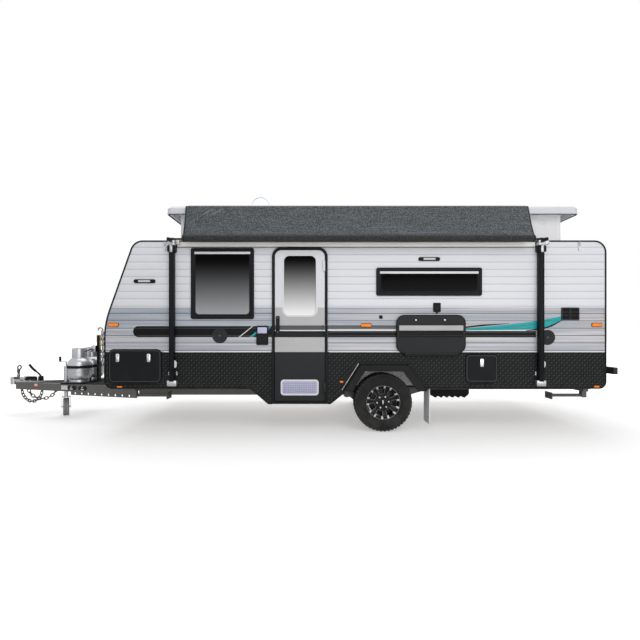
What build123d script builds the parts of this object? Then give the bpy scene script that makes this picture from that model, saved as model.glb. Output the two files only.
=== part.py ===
from build123d import *
import math
import os

os.makedirs("parts", exist_ok=True)

# A single-axle travel caravan with its roof raised. All sizes are millimetres.
# While it is drawn, X runs from the front of the body to the rear, the door side is -Y, the ground Z = 0.
BODY_LENGTH = 5900.0
HALF_WIDTH = 1150.0
WALL = 35.0
FLOOR_Z = 520.0
WALL_TOP = 2262.0
CLADDING_Z = 951.0
SKIRT = 4.0
NOSE_X = -1925.0
TAIL_X = BODY_LENGTH + 200.0
INNER = HALF_WIDTH - WALL
SKIN = HALF_WIDTH + SKIRT
# Stations along the body are set out in bays, fifty-nine to its length.
BAY = BODY_LENGTH / 59.0
# How far the face of a door or hatch leaf stands proud of the skin
LEAF_PROUD = 8.0
LEAF_THICK = 30.0
LEAF = -SKIN - LEAF_PROUD

# The finished frame has its origin under the middle of the whole object.
ROLLER_Y = -HALF_WIDTH - 168.0
ROLLER_Z = WALL_TOP - 12.0
ROLLER_R = 42.0
FLARE_PROUD = 65.0
SHIFT_X = -(NOSE_X + TAIL_X) / 2
SHIFT_Y = -((ROLLER_Y - ROLLER_R) + (SKIN + FLARE_PROUD)) / 2

# Chassis
RAIL_Z = (370.0, 470.0)
RAIL_Y = HALF_WIDTH - 550.0
RAIL_W = 50.0
CROSS_Z = (RAIL_Z[1], FLOOR_Z)
APEX_X = -1800.0
APEX_Y = 45.0
DRAWBAR_END_X = 150.0

# Wheels
AXLE_X = 32.88 * BAY
TYRE_R = 348.0
TYRE_W = 225.0
WHEEL_Y = HALF_WIDTH - 142.5

# Jockey wheel, a set distance inside the near drawbar rail
SLOPE = (RAIL_Y - APEX_Y) / (DRAWBAR_END_X - APEX_X)
JOCKEY_X = -1050.0
JOCKEY_IN = 128.5
JOCKEY_Y = JOCKEY_IN - APEX_Y - SLOPE * (JOCKEY_X - APEX_X)
JOCKEY_R = 125.0
JOCKEY_TRAIL = 40.0

# Corner legs
LEG_X = {"front": 290.0, "rear": BODY_LENGTH - 170.0}
LEG_Y = HALF_WIDTH - 170.0
LEG_Z = 420.0
LEG_LENGTH = 410.0

# Openings of the near wall: x0, x1, z0, z1, corner radius
BED_WINDOW = (10.22 * BAY, 17.63 * BAY, WALL_TOP - 923.0, WALL_TOP - 90.0, 60.0)
KITCHEN_WINDOW = (31.96 * BAY, 44.36 * BAY, WALL_TOP - 651.0, WALL_TOP - 320.0, 50.0)
DOOR = (19.74 * BAY, 26.26 * BAY, 344.0, WALL_TOP - 82.0, 110.0)
DOOR_GLASS = (DOOR[0] + 133.0, DOOR[1] - 131.0, DOOR[3] - 803.0, DOOR[3] - 93.0, 70.0)
DOOR_BAND = 28.0
BOOT_HATCH = (0.56 * BAY, 6.74 * BAY, 592.0, 980.0, 60.0)
LOCKER_HATCH = (42.46 * BAY, 46.22 * BAY, 596.0, 922.0, 50.0)
TABLE = (34.31 * BAY, 42.36 * BAY, 938.0, 1386.0, 95.0)
DOOR_AXIS = (DOOR[1] - 24.0, -SKIN - 25.5)
HATCH_AXIS_Y = -SKIN - 12.0
HATCH_DROP = 9.0
TABLE_AXIS = (-SKIN - 36.0, TABLE[2] - 8.0)

# Raised roof
ROOF = (7.01 * BAY, BODY_LENGTH - 265.0)
ROOF_HALF = HALF_WIDTH - 70.0
ROOF_Z = (WALL_TOP + 335.0, WALL_TOP + 428.0)
CURTAIN = (ROOF[0] + 118.0, ROOF[1] - 135.0)
CURTAIN_HALF = HALF_WIDTH - 190.0
POP_OPENING = (CURTAIN[0] + 61.0, CURTAIN[1] - 60.0, CURTAIN_HALF - 60.0)
ROOF_TRAVEL = 330.0
JOCKEY_TRAVEL = 115.0

# Awning
AWNING = (9.70 * BAY, 49.80 * BAY)
AWNING_ARMS = (8.12 * BAY, 51.10 * BAY)
SHEET_FOOT = (ROLLER_Y - 4.0, ROLLER_Z + ROLLER_R + 0.6)
SHEET_HEAD = (-ROOF_HALF - 21.0, ROOF_Z[1] - 10.0)


def block(x0, x1, y0, y1, z0, z1):
    """A box between two corners."""
    return Pos((x0 + x1) / 2, (y0 + y1) / 2, (z0 + z1) / 2) * Box(x1 - x0, y1 - y0, z1 - z0)


def rod(p, q, r):
    """A round bar from p to q."""
    line = Vector(*q) - Vector(*p)
    bar = Cylinder(r, line.length, align=(Align.CENTER, Align.CENTER, Align.MIN))
    return Plane(origin=p, z_dir=line) * bar


def slab(sketch, y0, y1):
    """A drawing in X and Z, given thickness from y0 to y1."""
    return Pos(0, y1, 0) * extrude(Plane.XZ * sketch, amount=y1 - y0)


def rounded(x0, x1, z0, z1, r, grow=0.0):
    """A rectangle in X and Z with rounded corners, grown by an offset."""
    w = x1 - x0 + 2 * grow
    h = z1 - z0 + 2 * grow
    return Pos((x0 + x1) / 2, (z0 + z1) / 2) * RectangleRounded(w, h, max(r + grow, 2.0))


def polygon(points):
    """A filled outline from its corners."""
    return make_face(Polyline(*points, close=True))


def mirrored(shape):
    """The same piece on the far side."""
    return mirror(shape, about=Plane.XZ)


def parts_of(*shapes):
    """Pieces that share a node and don't touch."""
    solids = []
    for shape in shapes:
        solids.extend(shape.solids())
    return Compound(solids)


def body_outline():
    """The side of the body: upright nose, raked front above a soft knee, level roof and upright rear."""
    corners = [(0, FLOOR_Z), (0, 1283), (348, WALL_TOP), (BODY_LENGTH, WALL_TOP), (BODY_LENGTH, FLOOR_Z)]
    radii = [100, 1000, 150, 140, 85]
    sketch = polygon(corners)
    for (x, z), r in zip(corners, radii):
        vertex = sketch.vertices().sort_by_distance(Vector(x, z))[0]
        sketch = fillet(vertex, r)
    return sketch


OUTLINE = body_outline()
STEP_FOOT = DOOR[2] - 6
STEP_DROP = polygon([(DOOR[0] - 261, FLOOR_Z + 15), (DOOR[0] - 261, FLOOR_Z), (DOOR[0] - 47, STEP_FOOT),
                     (DOOR[1] + 34, STEP_FOOT), (DOOR[1] + 202, FLOOR_Z - 48), (DOOR[1] + 202, FLOOR_Z + 15)])
# The wheel arch leaves room round the tyre: its front and rear edges and its height
ARCH_X = (AXLE_X - TYRE_R - 28, AXLE_X + TYRE_R + 44)
ARCH_Z = (FLOOR_Z - 22, 2 * TYRE_R + 33, 2 * TYRE_R + 103)
ARCH_OUT = [(ARCH_X[0] - 94, ARCH_Z[0]), (ARCH_X[0] + 101, ARCH_Z[2]), (ARCH_X[1] - 120, ARCH_Z[2]),
            (ARCH_X[1] + 95, ARCH_Z[0])]
ARCH_IN = [(ARCH_X[0], ARCH_Z[0]), (ARCH_X[0] + 148, ARCH_Z[1]), (ARCH_X[1] - 165, ARCH_Z[1]),
           (ARCH_X[1], ARCH_Z[0])]
ARCH_CUT = polygon([(ARCH_IN[0][0], 300)] + ARCH_IN + [(ARCH_IN[3][0], 300)])

nodes = {}

# Ladder chassis
# The rails taper behind the axle.
SHALLOW_Z = RAIL_Z[1] - 28
rail_face = polygon([(190, RAIL_Z[1]), (190, RAIL_Z[0]), (AXLE_X + 412, RAIL_Z[0]), (AXLE_X + 662, SHALLOW_Z),
                     (TAIL_X - 50, SHALLOW_Z), (TAIL_X - 50, RAIL_Z[1])])
for side, s in (("kerb", -1), ("road", 1)):
    y = s * RAIL_Y
    nodes["chassis_rail_" + side] = slab(rail_face, y - RAIL_W / 2, y + RAIL_W / 2)

# Each row: x of the member and its half length. The two long ones carry the brackets of the corner legs.
SHORT = RAIL_Y + 200
LONG = LEG_Y + 60
CROSS = [(DRAWBAR_END_X - 12.5, RAIL_Y + 60), (LEG_X["front"], LONG), (9 * BAY, SHORT), (15 * BAY, SHORT),
         (19 * BAY, SHORT), (27.2 * BAY, SHORT), (AXLE_X, SHORT), (AXLE_X + 562, SHORT),
         (AXLE_X + 922, SHORT), (47.2 * BAY, SHORT), (52.3 * BAY, SHORT), (LEG_X["rear"], LONG)]
members = []
for x, half in CROSS:
    member = block(x - 30, x + 30, -half, half, *CROSS_Z)
    if x in LEG_X.values():
        for s in (-1, 1):
            cy = s * LEG_Y
            member += rod((x, cy - 30, LEG_Z), (x, cy + 30, LEG_Z), 8)
            for y0 in (cy - 30, cy + 22):
                member += block(x - 28, x + 28, y0, y0 + 8, LEG_Z - 24, CROSS_Z[0])
    members.append(member)
nodes["cross_members"] = parts_of(*members)

# Drawbar rails, converging to the coupling, with a pierced stiffener under each
drawbar_angle = math.degrees(math.atan2(RAIL_Y - APEX_Y, DRAWBAR_END_X - APEX_X))
drawbar_length = math.hypot(RAIL_Y - APEX_Y, DRAWBAR_END_X - APEX_X)
rail = block(0, drawbar_length, -RAIL_W / 2, RAIL_W / 2, *RAIL_Z)
stiffener = block(960, drawbar_length, -5, 5, 322, RAIL_Z[0])
for k in range(9):
    x = 1030 + 110 * k
    stiffener -= slab(Pos(x, 347) * RegularPolygon(16, 8), -9, 9)
drawbar = rail + stiffener
for side, s in (("kerb", -1), ("road", 1)):
    nodes["drawbar_rail_" + side] = Pos(APEX_X, s * APEX_Y, 0) * Rot(0, 0, s * drawbar_angle) * drawbar

# Tow coupling: a plate on the drawbar, a neck and a head with an upright socket for the tow pin
PIN_X = NOSE_X + 40
coupling = block(-1800, -1440, -75, 75, 470, 484)
coupling += block(PIN_X, -1720, -32, 32, 478, 522)
coupling += rod((PIN_X, 0, 430), (PIN_X, 0, 530), 40)
coupling -= rod((PIN_X, 0, 420), (PIN_X, 0, 500), 17.6)
coupling += rod((-1815, 0, 515), (-1815, 0, 640), 10)
coupling += block(-1827, -1803, -22, 22, 560, 572)
nodes["coupling"] = coupling

lever = block(-1530, -1456, -16, 16, 484, 536)
lever += rod((-1495, 0, 510), (-1640, 0, 688), 9)
lever += rod((-1600, 0, 639), (-1662, 0, 715), 15)
nodes["handbrake_lever"] = lever


# A link's half length, half width and bar
LINK = (35.0, 25.0, 11.5)


def link(at, along, upright):
    """One chain link: an eight-sided ring, its length along the chain, lying flat or on edge."""
    half, wide, bar = LINK
    cut = 11.0
    ring = polygon([(-half, wide - cut), (-half + cut, wide), (half - cut, wide), (half, wide - cut),
                    (half, cut - wide), (half - cut, -wide), (cut - half, -wide), (-half, cut - wide)])
    hole_x, hole_y = half - bar, wide - bar
    ring -= Rectangle(2 * hole_x, 2 * hole_y)
    solid = Pos(0, 0, -bar / 2) * extrude(ring, amount=bar)
    turn = Rot(90, 0, 0) if upright else Rot(0, 0, 0)
    tilt = math.degrees(math.atan2(along[2], along[0]))
    return Pos(*at) * Rot(0, -tilt, 0) * turn * solid


CHAIN_PITCH = 2 * (LINK[0] - LINK[2]) - 1.1


def chain():
    """A safety chain in a loop from two lugs, drawn along the drawbar rail that it hangs under."""
    count = 11
    x, z = 84.0, 348.0
    links = []
    for k in range(count):
        a = math.radians(-70 + 140 * k / (count - 1))
        dx, dz = math.cos(a), math.sin(a)
        x += CHAIN_PITCH * dx
        z += CHAIN_PITCH * dz
        links.append(link((x - CHAIN_PITCH / 2 * dx, 0, z - CHAIN_PITCH / 2 * dz), (dx, 0, dz), k % 2 == 0))
    links[0] += block(70, 100, -11, 11, 338, RAIL_Z[0])
    links[-1] += block(x - 16, x + 14, -11, 11, 338, RAIL_Z[0])
    return links


# Jockey wheel: clamp and outer tube on the near drawbar rail, with the crank on top
bracket = block(JOCKEY_X - 45, JOCKEY_X + 45, JOCKEY_Y - 125, JOCKEY_Y, 395, 445)
bracket -= nodes["drawbar_rail_kerb"]
bracket = bracket.solids().sort_by(Axis.Y)[-1]
clamp = bracket + rod((JOCKEY_X, JOCKEY_Y, 395), (JOCKEY_X, JOCKEY_Y, 700), 30)
clamp -= rod((JOCKEY_X, JOCKEY_Y, 320), (JOCKEY_X, JOCKEY_Y, 690), 25)
clamp += rod((JOCKEY_X, JOCKEY_Y, 700), (JOCKEY_X, JOCKEY_Y, 768), 9)
clamp += block(JOCKEY_X - 95, JOCKEY_X + 9, JOCKEY_Y - 9, JOCKEY_Y + 9, 756, 768)
clamp += rod((JOCKEY_X - 86, JOCKEY_Y, 760), (JOCKEY_X - 86, JOCKEY_Y, 835), 13)
nodes["jockey_clamp"] = clamp

leg = rod((JOCKEY_X, JOCKEY_Y, 272.3), (JOCKEY_X, JOCKEY_Y, 480), 24.6)
leg -= rod((JOCKEY_X, JOCKEY_Y, 270), (JOCKEY_X, JOCKEY_Y, 322), 12.3)
nodes["jockey_leg"] = leg

JOCKEY_AXLE_Y = JOCKEY_Y + JOCKEY_TRAIL
fork = block(JOCKEY_X - 56, JOCKEY_X + 56, JOCKEY_Y - 28, JOCKEY_AXLE_Y + 28, 262, 272)
for s in (-1, 1):
    x0 = JOCKEY_X + (50 if s > 0 else -56)
    fork += block(x0, x0 + 6, JOCKEY_AXLE_Y - 24, JOCKEY_AXLE_Y + 24, 105, 262)
fork += rod((JOCKEY_X, JOCKEY_Y, 270), (JOCKEY_X, JOCKEY_Y, 320), 12)
fork += rod((JOCKEY_X - 62, JOCKEY_AXLE_Y, JOCKEY_R), (JOCKEY_X + 62, JOCKEY_AXLE_Y, JOCKEY_R), 8)
# The castor stands turned on its stem, as it was left.
JOCKEY_TURN = 30.0
castor = Pos(JOCKEY_X, JOCKEY_Y, 0) * Rot(0, 0, JOCKEY_TURN) * Pos(-JOCKEY_X, -JOCKEY_Y, 0)
nodes["jockey_fork"] = castor * fork

tread = rod((JOCKEY_X - 40, JOCKEY_AXLE_Y, JOCKEY_R), (JOCKEY_X + 40, JOCKEY_AXLE_Y, JOCKEY_R), JOCKEY_R)
tread = chamfer(tread.edges().filter_by(GeomType.CIRCLE), 12)
tread -= rod((JOCKEY_X - 60, JOCKEY_AXLE_Y, JOCKEY_R), (JOCKEY_X + 60, JOCKEY_AXLE_Y, JOCKEY_R), 8.3)
nodes["jockey_wheel"] = castor * tread

chains = []
for s in (-1, 1):
    for piece in chain():
        chains.append(Pos(APEX_X, s * APEX_Y, 0) * Rot(0, 0, s * drawbar_angle) * piece)
nodes["safety_chains"] = parts_of(*chains)

# Two gas bottles on a tray, with a post that carries the regulator
BOTTLE_X = -840.0
BOTTLE_Y = 166.0
TRAY_Z = 490.0
shell = [(0, 0), (122, 0), (122, 36), (156, 36), (156, 228), (98, 340), (98, 470), (90, 470),
         (90, 352), (0, 352)]
bottle = revolve(polygon(shell), Axis.Y)
bottle = Rot(90, 0, 0) * bottle
near_bottle = Pos(BOTTLE_X, -BOTTLE_Y, TRAY_Z) * bottle
nodes["gas_bottles"] = parts_of(near_bottle, mirrored(near_bottle))
TRAY_HALF = APEX_Y + SLOPE * (BOTTLE_X - APEX_X) + 22
tray = block(BOTTLE_X - 165, BOTTLE_X + 165, -TRAY_HALF, TRAY_HALF, 470, TRAY_Z)
POST_X = BOTTLE_X + 165
tray += block(POST_X - 5, POST_X + 40, -60, 60, 470, TRAY_Z)
tray += block(POST_X + 5, POST_X + 35, -30, 30, 470, 1140)
tray += block(POST_X - 55, POST_X + 10, -60, 60, 900, 985)
nodes["gas_tray"] = tray

# Body shell: the outline hollowed by one wall and split into floor, front, roof ring and rear
ring = OUTLINE - offset(OUTLINE, amount=-WALL)
shell_ring = slab(ring, -INNER, INNER)
FRONT_END = 7 * BAY
REAR_END = BODY_LENGTH - 200
floor_zone = block(100, BODY_LENGTH - 85, -2000, 2000, FLOOR_Z - 5, FLOOR_Z + WALL)
front_zone = block(-50, FRONT_END, -2000, 2000, 0, 3000) - floor_zone
rear_zone = block(REAR_END, BODY_LENGTH + 100, -2000, 2000, 0, 3000) - floor_zone
roof_zone = block(FRONT_END, REAR_END, -2000, 2000, WALL_TOP - 700, 3000)
nodes["wall_front"] = shell_ring & front_zone
nodes["wall_rear"] = shell_ring & rear_zone
roof_ring = shell_ring & roof_zone
pop_x0, pop_x1, pop_half = POP_OPENING
roof_ring -= block(pop_x0, pop_x1, -pop_half, pop_half, WALL_TOP - 200, WALL_TOP + 200)
nodes["roof_ring"] = roof_ring

# Floor with its step well inside the door and the cut-outs for the wheel boxes
TUB = (ARCH_X[0] - 52, ARCH_X[1] + 60, HALF_WIDTH - 315, ARCH_Z[1] + 61)
WELL = (DOOR[0] - 24, DOOR[1] + 24, 335 - HALF_WIDTH, DOOR[2] + 1)
floor = shell_ring & floor_zone
for s in (-1, 1):
    floor -= Pos(0, s * (TUB[2] + 500), 0) * block(TUB[0], TUB[1], -500, 500, 500, 700)
floor -= block(WELL[0], WELL[1], -2000, WELL[2], 500, 700)
well = block(WELL[0], WELL[1], -INNER, WELL[2], WELL[3], FLOOR_Z + WALL)
well -= block(WELL[0] + 8, WELL[1] - 8, -2000, WELL[2] - 8, WELL[3] + 8, 700)
nodes["floor"] = floor + well

# Panels that close the boot tunnel off from the cabin
BOOT_END = BOOT_HATCH[1] + 86
boot = block(WALL, BOOT_END, -INNER, INNER, BOOT_HATCH[3] + 20, BOOT_HATCH[3] + 38)
boot += block(BOOT_END - 18, BOOT_END, -INNER, INNER, FLOOR_Z + WALL, BOOT_HATCH[3] + 38)
nodes["boot_panels"] = boot

# Inner wheel boxes
tubs = []
tub = block(TUB[0], TUB[1], TUB[2], INNER, FLOOR_Z, TUB[3])
tub -= block(TUB[0] + 6, TUB[1] - 6, TUB[2] + 6, INNER + 10, 400, TUB[3] - 6)
nodes["wheel_boxes"] = parts_of(tub, mirrored(tub))

# Side walls and the chequer plate over their lower part
near_side = OUTLINE + STEP_DROP
far_side = OUTLINE
lower = Pos(BODY_LENGTH / 2, CLADDING_Z - 500) * Rectangle(BODY_LENGTH + 200, 1000)


def wall_openings(near):
    """Everything cut from a side wall."""
    cuts = ARCH_CUT + rounded(*BED_WINDOW, grow=-42) + rounded(*KITCHEN_WINDOW, grow=-42)
    cuts += rounded(*BOOT_HATCH, grow=6)
    if near:
        cuts += rounded(DOOR[0], DOOR[1], 200, DOOR[3], DOOR[4])
        cuts += rounded(*LOCKER_HATCH, grow=6)
    return cuts


for side, face, near in (("kerb", near_side, True), ("road", far_side, False)):
    cuts = wall_openings(near)
    wall = slab(face - cuts, -HALF_WIDTH, -INNER)
    skirt = slab((face & lower) - cuts, -SKIN, -HALF_WIDTH)
    if not near:
        wall = mirrored(wall)
        skirt = mirrored(skirt)
    nodes["wall_" + side] = wall
    nodes["skirt_" + side] = skirt

# Flares round the wheel arches
FLARE_FOOT = ARCH_Z[0] - 23
flare_hole = [(ARCH_IN[0][0] - 7, FLARE_FOOT)] + ARCH_IN + [(ARCH_IN[3][0] + 10, FLARE_FOOT)]
flare_face = polygon(ARCH_OUT) - polygon(flare_hole)
flare = slab(flare_face, -SKIN - FLARE_PROUD, -SKIN)
nodes["arch_flares"] = parts_of(flare, mirrored(flare))

# Windows: a proud frame round each opening and a dark pane in it
frames = []
panes = []
for window in (BED_WINDOW, KITCHEN_WINDOW):
    frame = slab(rounded(*window) - rounded(*window, grow=-42), -HALF_WIDTH - 22, -HALF_WIDTH)
    pane = slab(rounded(*window, grow=-42), -HALF_WIDTH - 16, -HALF_WIDTH - 10)
    frames += [frame, mirrored(frame)]
    panes += [pane, mirrored(pane)]
nodes["window_frames"] = parts_of(*frames)
nodes["window_panes"] = parts_of(*panes)

# Entry door in its frame, hung on the rear edge
door_outer = rounded(DOOR[0], DOOR[1], DOOR[2], DOOR[3], DOOR[4])
door_clear = rounded(DOOR[0], DOOR[1], DOOR[2], DOOR[3], DOOR[4], grow=-DOOR_BAND)
square_foot = Pos((DOOR[0] + DOOR[1]) / 2, 460) * Rectangle(DOOR[1] - DOOR[0], 232)
foot_clear = Pos((DOOR[0] + DOOR[1]) / 2, 474) * Rectangle(DOOR[1] - DOOR[0] - 2 * DOOR_BAND, 204)
nodes["door_frame"] = slab((door_outer + square_foot) - (door_clear + foot_clear), -HALF_WIDTH - 22, -INNER)
GAP = 6.0
leaf_face = rounded(DOOR[0], DOOR[1], DOOR[2], DOOR[3], DOOR[4], grow=-DOOR_BAND - GAP)
leaf_face += Pos((DOOR[0] + DOOR[1]) / 2, 478) * Rectangle(DOOR[1] - DOOR[0] - 2 * (DOOR_BAND + GAP), 200)
glass_face = rounded(*DOOR_GLASS)
leaf = slab(leaf_face - glass_face, LEAF, LEAF + 32)
ax, ay = DOOR_AXIS
for z in (480, 1150, 1900):
    leaf += block(ax - 27, ax - 11, LEAF - 22, LEAF + 12, z, z + 120)
    leaf += block(ax - 22, ax, LEAF - 22, LEAF - 13, z, z + 120)
    leaf += rod((ax, ay, z), (ax, ay, z + 120), 7)
nodes["entry_door"] = leaf
nodes["door_pane"] = slab(glass_face, LEAF + 10, LEAF + 16)
vent = slab(rounded(DOOR[0] + 102, DOOR[1] - 105, 444, 629, 18), LEAF - 8, LEAF)
nodes["door_vent"] = vent
nodes["door_handle"] = slab(rounded(DOOR[0] + 46, DOOR[0] + 90, 1170, 1375, 14), LEAF - 34, LEAF)


def knuckles(size, first):
    """The spans of every second fifth of a hatch hinge, beginning with the fifth named."""
    x0, x1, z0, z1, r = size
    fifth = (x1 - x0 - 2 * r) / 5
    return [(x0 + r + fifth * k + 2, x0 + r + fifth * (k + 1) - 2) for k in range(first, 5, 2)]


def hatch(size):
    """A bottom-hung hatch leaf with three hinge knuckles and the pin through them."""
    x0, x1, z0, z1, r = size
    piece = slab(rounded(x0, x1, z0, z1, r), LEAF, LEAF + LEAF_THICK)
    axis_z = z0 - HATCH_DROP
    for a, b in knuckles(size, 0):
        piece += block(a, b, HATCH_AXIS_Y, HATCH_AXIS_Y + 6, axis_z, z0 + 8)
    piece += rod((x0 + r, HATCH_AXIS_Y, axis_z), (x1 - r, HATCH_AXIS_Y, axis_z), 5)
    return piece


def hatch_strip(size):
    """The fixed half of a hatch hinge, with two rests under the pin."""
    x0, x1, z0, z1, r = size
    top = z0 - HATCH_DROP - 5.4
    strip = block(x0 + r, x1 - r, HATCH_AXIS_Y + 5, -SKIN, top - 12, top)
    for a, b in knuckles(size, 1):
        strip += block(a, b, HATCH_AXIS_Y - 2, HATCH_AXIS_Y + 6, top - 12, top)
    return strip


boot_leaf = hatch(BOOT_HATCH)
nodes["boot_hatch_kerb"] = boot_leaf
nodes["boot_hatch_road"] = mirrored(boot_leaf)
nodes["locker_hatch"] = hatch(LOCKER_HATCH)
table = slab(rounded(*TABLE), LEAF - LEAF_THICK, LEAF)
table += block(TABLE[0] + 95, TABLE[1] - 95, TABLE_AXIS[0] - 6, TABLE_AXIS[0] + 6,
               TABLE_AXIS[1], TABLE[2] + 4)
table += rod((TABLE[0] + 95, *TABLE_AXIS), (TABLE[1] - 95, *TABLE_AXIS), 6)
nodes["picnic_table"] = table
table_strip = block(TABLE[0] + 95, TABLE[1] - 95, TABLE_AXIS[0] - 5, -SKIN, TABLE_AXIS[1] - 25,
                    TABLE_AXIS[1] - 6.4)
boot_strip = hatch_strip(BOOT_HATCH)
nodes["hatch_hinges"] = parts_of(boot_strip, mirrored(boot_strip), hatch_strip(LOCKER_HATCH), table_strip)

# Trailing arms with their pivot brackets and stub axles, and the air springs on them
ARM_Y = RAIL_Y + 80
arm = slab(polygon([(AXLE_X - 438, 372), (AXLE_X - 438, 432), (AXLE_X - 38, 408), (AXLE_X + 42, 393),
                    (AXLE_X + 42, 303), (AXLE_X - 38, 303)]), ARM_Y, ARM_Y + 60)
arm += rod((AXLE_X - 413, RAIL_Y + 40, 402), (AXLE_X - 413, RAIL_Y + 180, 402), 42)
arm += block(AXLE_X - 458, AXLE_X - 368, RAIL_Y + RAIL_W / 2, RAIL_Y + 45, 380, RAIL_Z[1])
arm += rod((AXLE_X, ARM_Y - 20, TYRE_R), (AXLE_X, ARM_Y + 110, TYRE_R), 46)
arm += rod((AXLE_X, ARM_Y + 100, TYRE_R), (AXLE_X, WHEEL_Y + 22.5, TYRE_R), 20)
nodes["trailing_arms"] = parts_of(arm, mirrored(arm))
SPRING_H = 134.0
bellows = [(0, 0), (66, 0), (66, 40), (56, 40), (56, 58), (66, 58), (66, 100), (48, 100),
           (48, SPRING_H), (0, SPRING_H)]
spring = Rot(90, 0, 0) * revolve(polygon(bellows), Axis.Y)
spring = Pos(AXLE_X - 148, ARM_Y + 32, FLOOR_Z - SPRING_H) * spring
spring -= arm
spring = spring.solids().sort_by(Axis.Z)[-1]
nodes["air_springs"] = parts_of(spring, mirrored(spring))

# Road wheels
tyre_half = [(190.8, TYRE_W / 2), (TYRE_R - 30, TYRE_W / 2), (TYRE_R, TYRE_W / 2 - 28)]
tyre_points = tyre_half + [(r, -a) for r, a in reversed(tyre_half)]
tyre = revolve(polygon(tyre_points), Axis.Y)
barrel = [(182, -88), (190.5, -88), (190.5, 88), (182, 88)]
rim = revolve(polygon(barrel), Axis.Y)
disc = rod((0, -52, 0), (0, -34, 0), 186)
# Seven windows leave seven spokes; each window row: radius, degrees to either side of its middle
SPOKES = 7
WINDOW_EDGE = [(100, 8.5), (140, 15.5), (164, 14.0)]
for k in range(SPOKES):
    middle = 98 + 360 / SPOKES * k
    rays = [(r, middle - turn) for r, turn in WINDOW_EDGE] + [(171, middle)]
    rays += [(r, middle + turn) for r, turn in reversed(WINDOW_EDGE)]
    window = polygon([(r * math.cos(math.radians(a)), r * math.sin(math.radians(a))) for r, a in rays])
    disc -= slab(window, -60, -20)
rim += disc
rim += rod((0, -72, 0), (0, 60, 0), 58)
rim += rod((0, -34, 0), (0, 130, 0), 128)
rim -= rod((0, -35, 0), (0, 140, 0), 20.3)
wheel_at = Pos(AXLE_X, -WHEEL_Y, TYRE_R)
nodes["tyre_kerb"] = wheel_at * tyre
nodes["rim_kerb"] = wheel_at * rim
nodes["tyre_road"] = mirrored(wheel_at * tyre)
nodes["rim_road"] = mirrored(wheel_at * rim)

# Underfloor tank and mud flaps
TANK_HALF = RAIL_Y - RAIL_W / 2 - 5
tank = block(AXLE_X + 722, AXLE_X + 1206, -TANK_HALF, TANK_HALF, 345, CROSS_Z[0])
tank = chamfer(tank.edges().filter_by(Axis.Y).group_by(Axis.Z)[0], 30)
nodes["water_tank"] = tank
flap = block(ARCH_X[1] + 150, ARCH_X[1] + 158, WHEEL_Y - 157.5, INNER, 90, FLOOR_Z)
nodes["mud_flaps"] = parts_of(flap, mirrored(flap))

# Corner legs, folded up under the floor
for end, sx in (("front", 1), ("rear", -1)):
    px = LEG_X[end]
    arm_x = sorted((px - sx * 25, px + sx * LEG_LENGTH))
    for side, sy in (("kerb", -1), ("road", 1)):
        cy = sy * LEG_Y
        foot_x = sorted((px + sx * LEG_LENGTH, px + sx * (LEG_LENGTH + 8)))
        piece = block(arm_x[0], arm_x[1], cy - 15, cy + 15, LEG_Z - 17, LEG_Z + 17)
        piece += block(foot_x[0], foot_x[1], cy - 80, cy + 80, LEG_Z - 40, LEG_Z + 40)
        piece -= rod((px, cy - 40, LEG_Z), (px, cy + 40, LEG_Z), 8.3)
        nodes["leg_" + end + "_" + side] = piece

# Rear bumper on uprights from the chassis rails
BUMPER_HALF = HALF_WIDTH - 90
bumper = block(TAIL_X - 50, TAIL_X, -BUMPER_HALF, BUMPER_HALF, 680, 760)
for s in (-1, 1):
    bumper += block(TAIL_X - 100, TAIL_X - 50, s * RAIL_Y - 25, s * RAIL_Y + 25, RAIL_Z[1], 760)
nodes["rear_bumper"] = bumper

# Lamps
tail = block(BODY_LENGTH, BODY_LENGTH + 30, HALF_WIDTH - 220, HALF_WIDTH - 100, 820, 1120)
nodes["tail_lamps"] = parts_of(tail, mirrored(tail))
# Each row: x, z, half length, half height
MARKERS = [(110, 1270, 65, 24), (30.8 * BAY, 1266, 65, 24), (BODY_LENGTH - 110, 1270, 65, 24),
           (BODY_LENGTH - 120, FLOOR_Z + 26, 35, 15), (AXLE_X - 498, 602, 24, 17),
           (1.86 * BAY, FLOOR_Z + 24, 35, 13)]
lamps = []
for x, z, half, high in MARKERS:
    face = SKIN if z < CLADDING_Z else HALF_WIDTH
    lamp = block(x - half, x + half, -face - 18, -face, z - high, z + high)
    lamps += [lamp, mirrored(lamp)]
nodes["marker_lamps"] = parts_of(*lamps)
# Small black fittings on the near wall: two speakers, outlet box, vent, power inlet, door catch and lights
fittings = []
for x, z in ((13.59 * BAY, 1143), (52.1 * BAY, 1123)):
    fittings.append(rod((x, -HALF_WIDTH, z), (x, -HALF_WIDTH - 7, z), 89))
# Each row: x0, x1, z0, z1, how far it stands proud
BOXES = [(17.9 * BAY, 19.3 * BAY, 1035, 1260, 24), (53.7 * BAY, 55.81 * BAY, 1326, 1475, 12),
         (38.65 * BAY, 39.55 * BAY, 1420, 1530, 20), (32.32 * BAY, 32.72 * BAY, 1342, 1382, 26),
         (4.02 * BAY, 5.52 * BAY, WALL_TOP - 497, WALL_TOP - 461, 22),
         (37.44 * BAY, 38.94 * BAY, WALL_TOP - 237, WALL_TOP - 201, 22)]
for x0, x1, z0, z1, proud in BOXES:
    fittings.append(block(x0, x1, -HALF_WIDTH - proud, -HALF_WIDTH, z0, z1))
nodes["wall_fittings"] = parts_of(*fittings)

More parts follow.
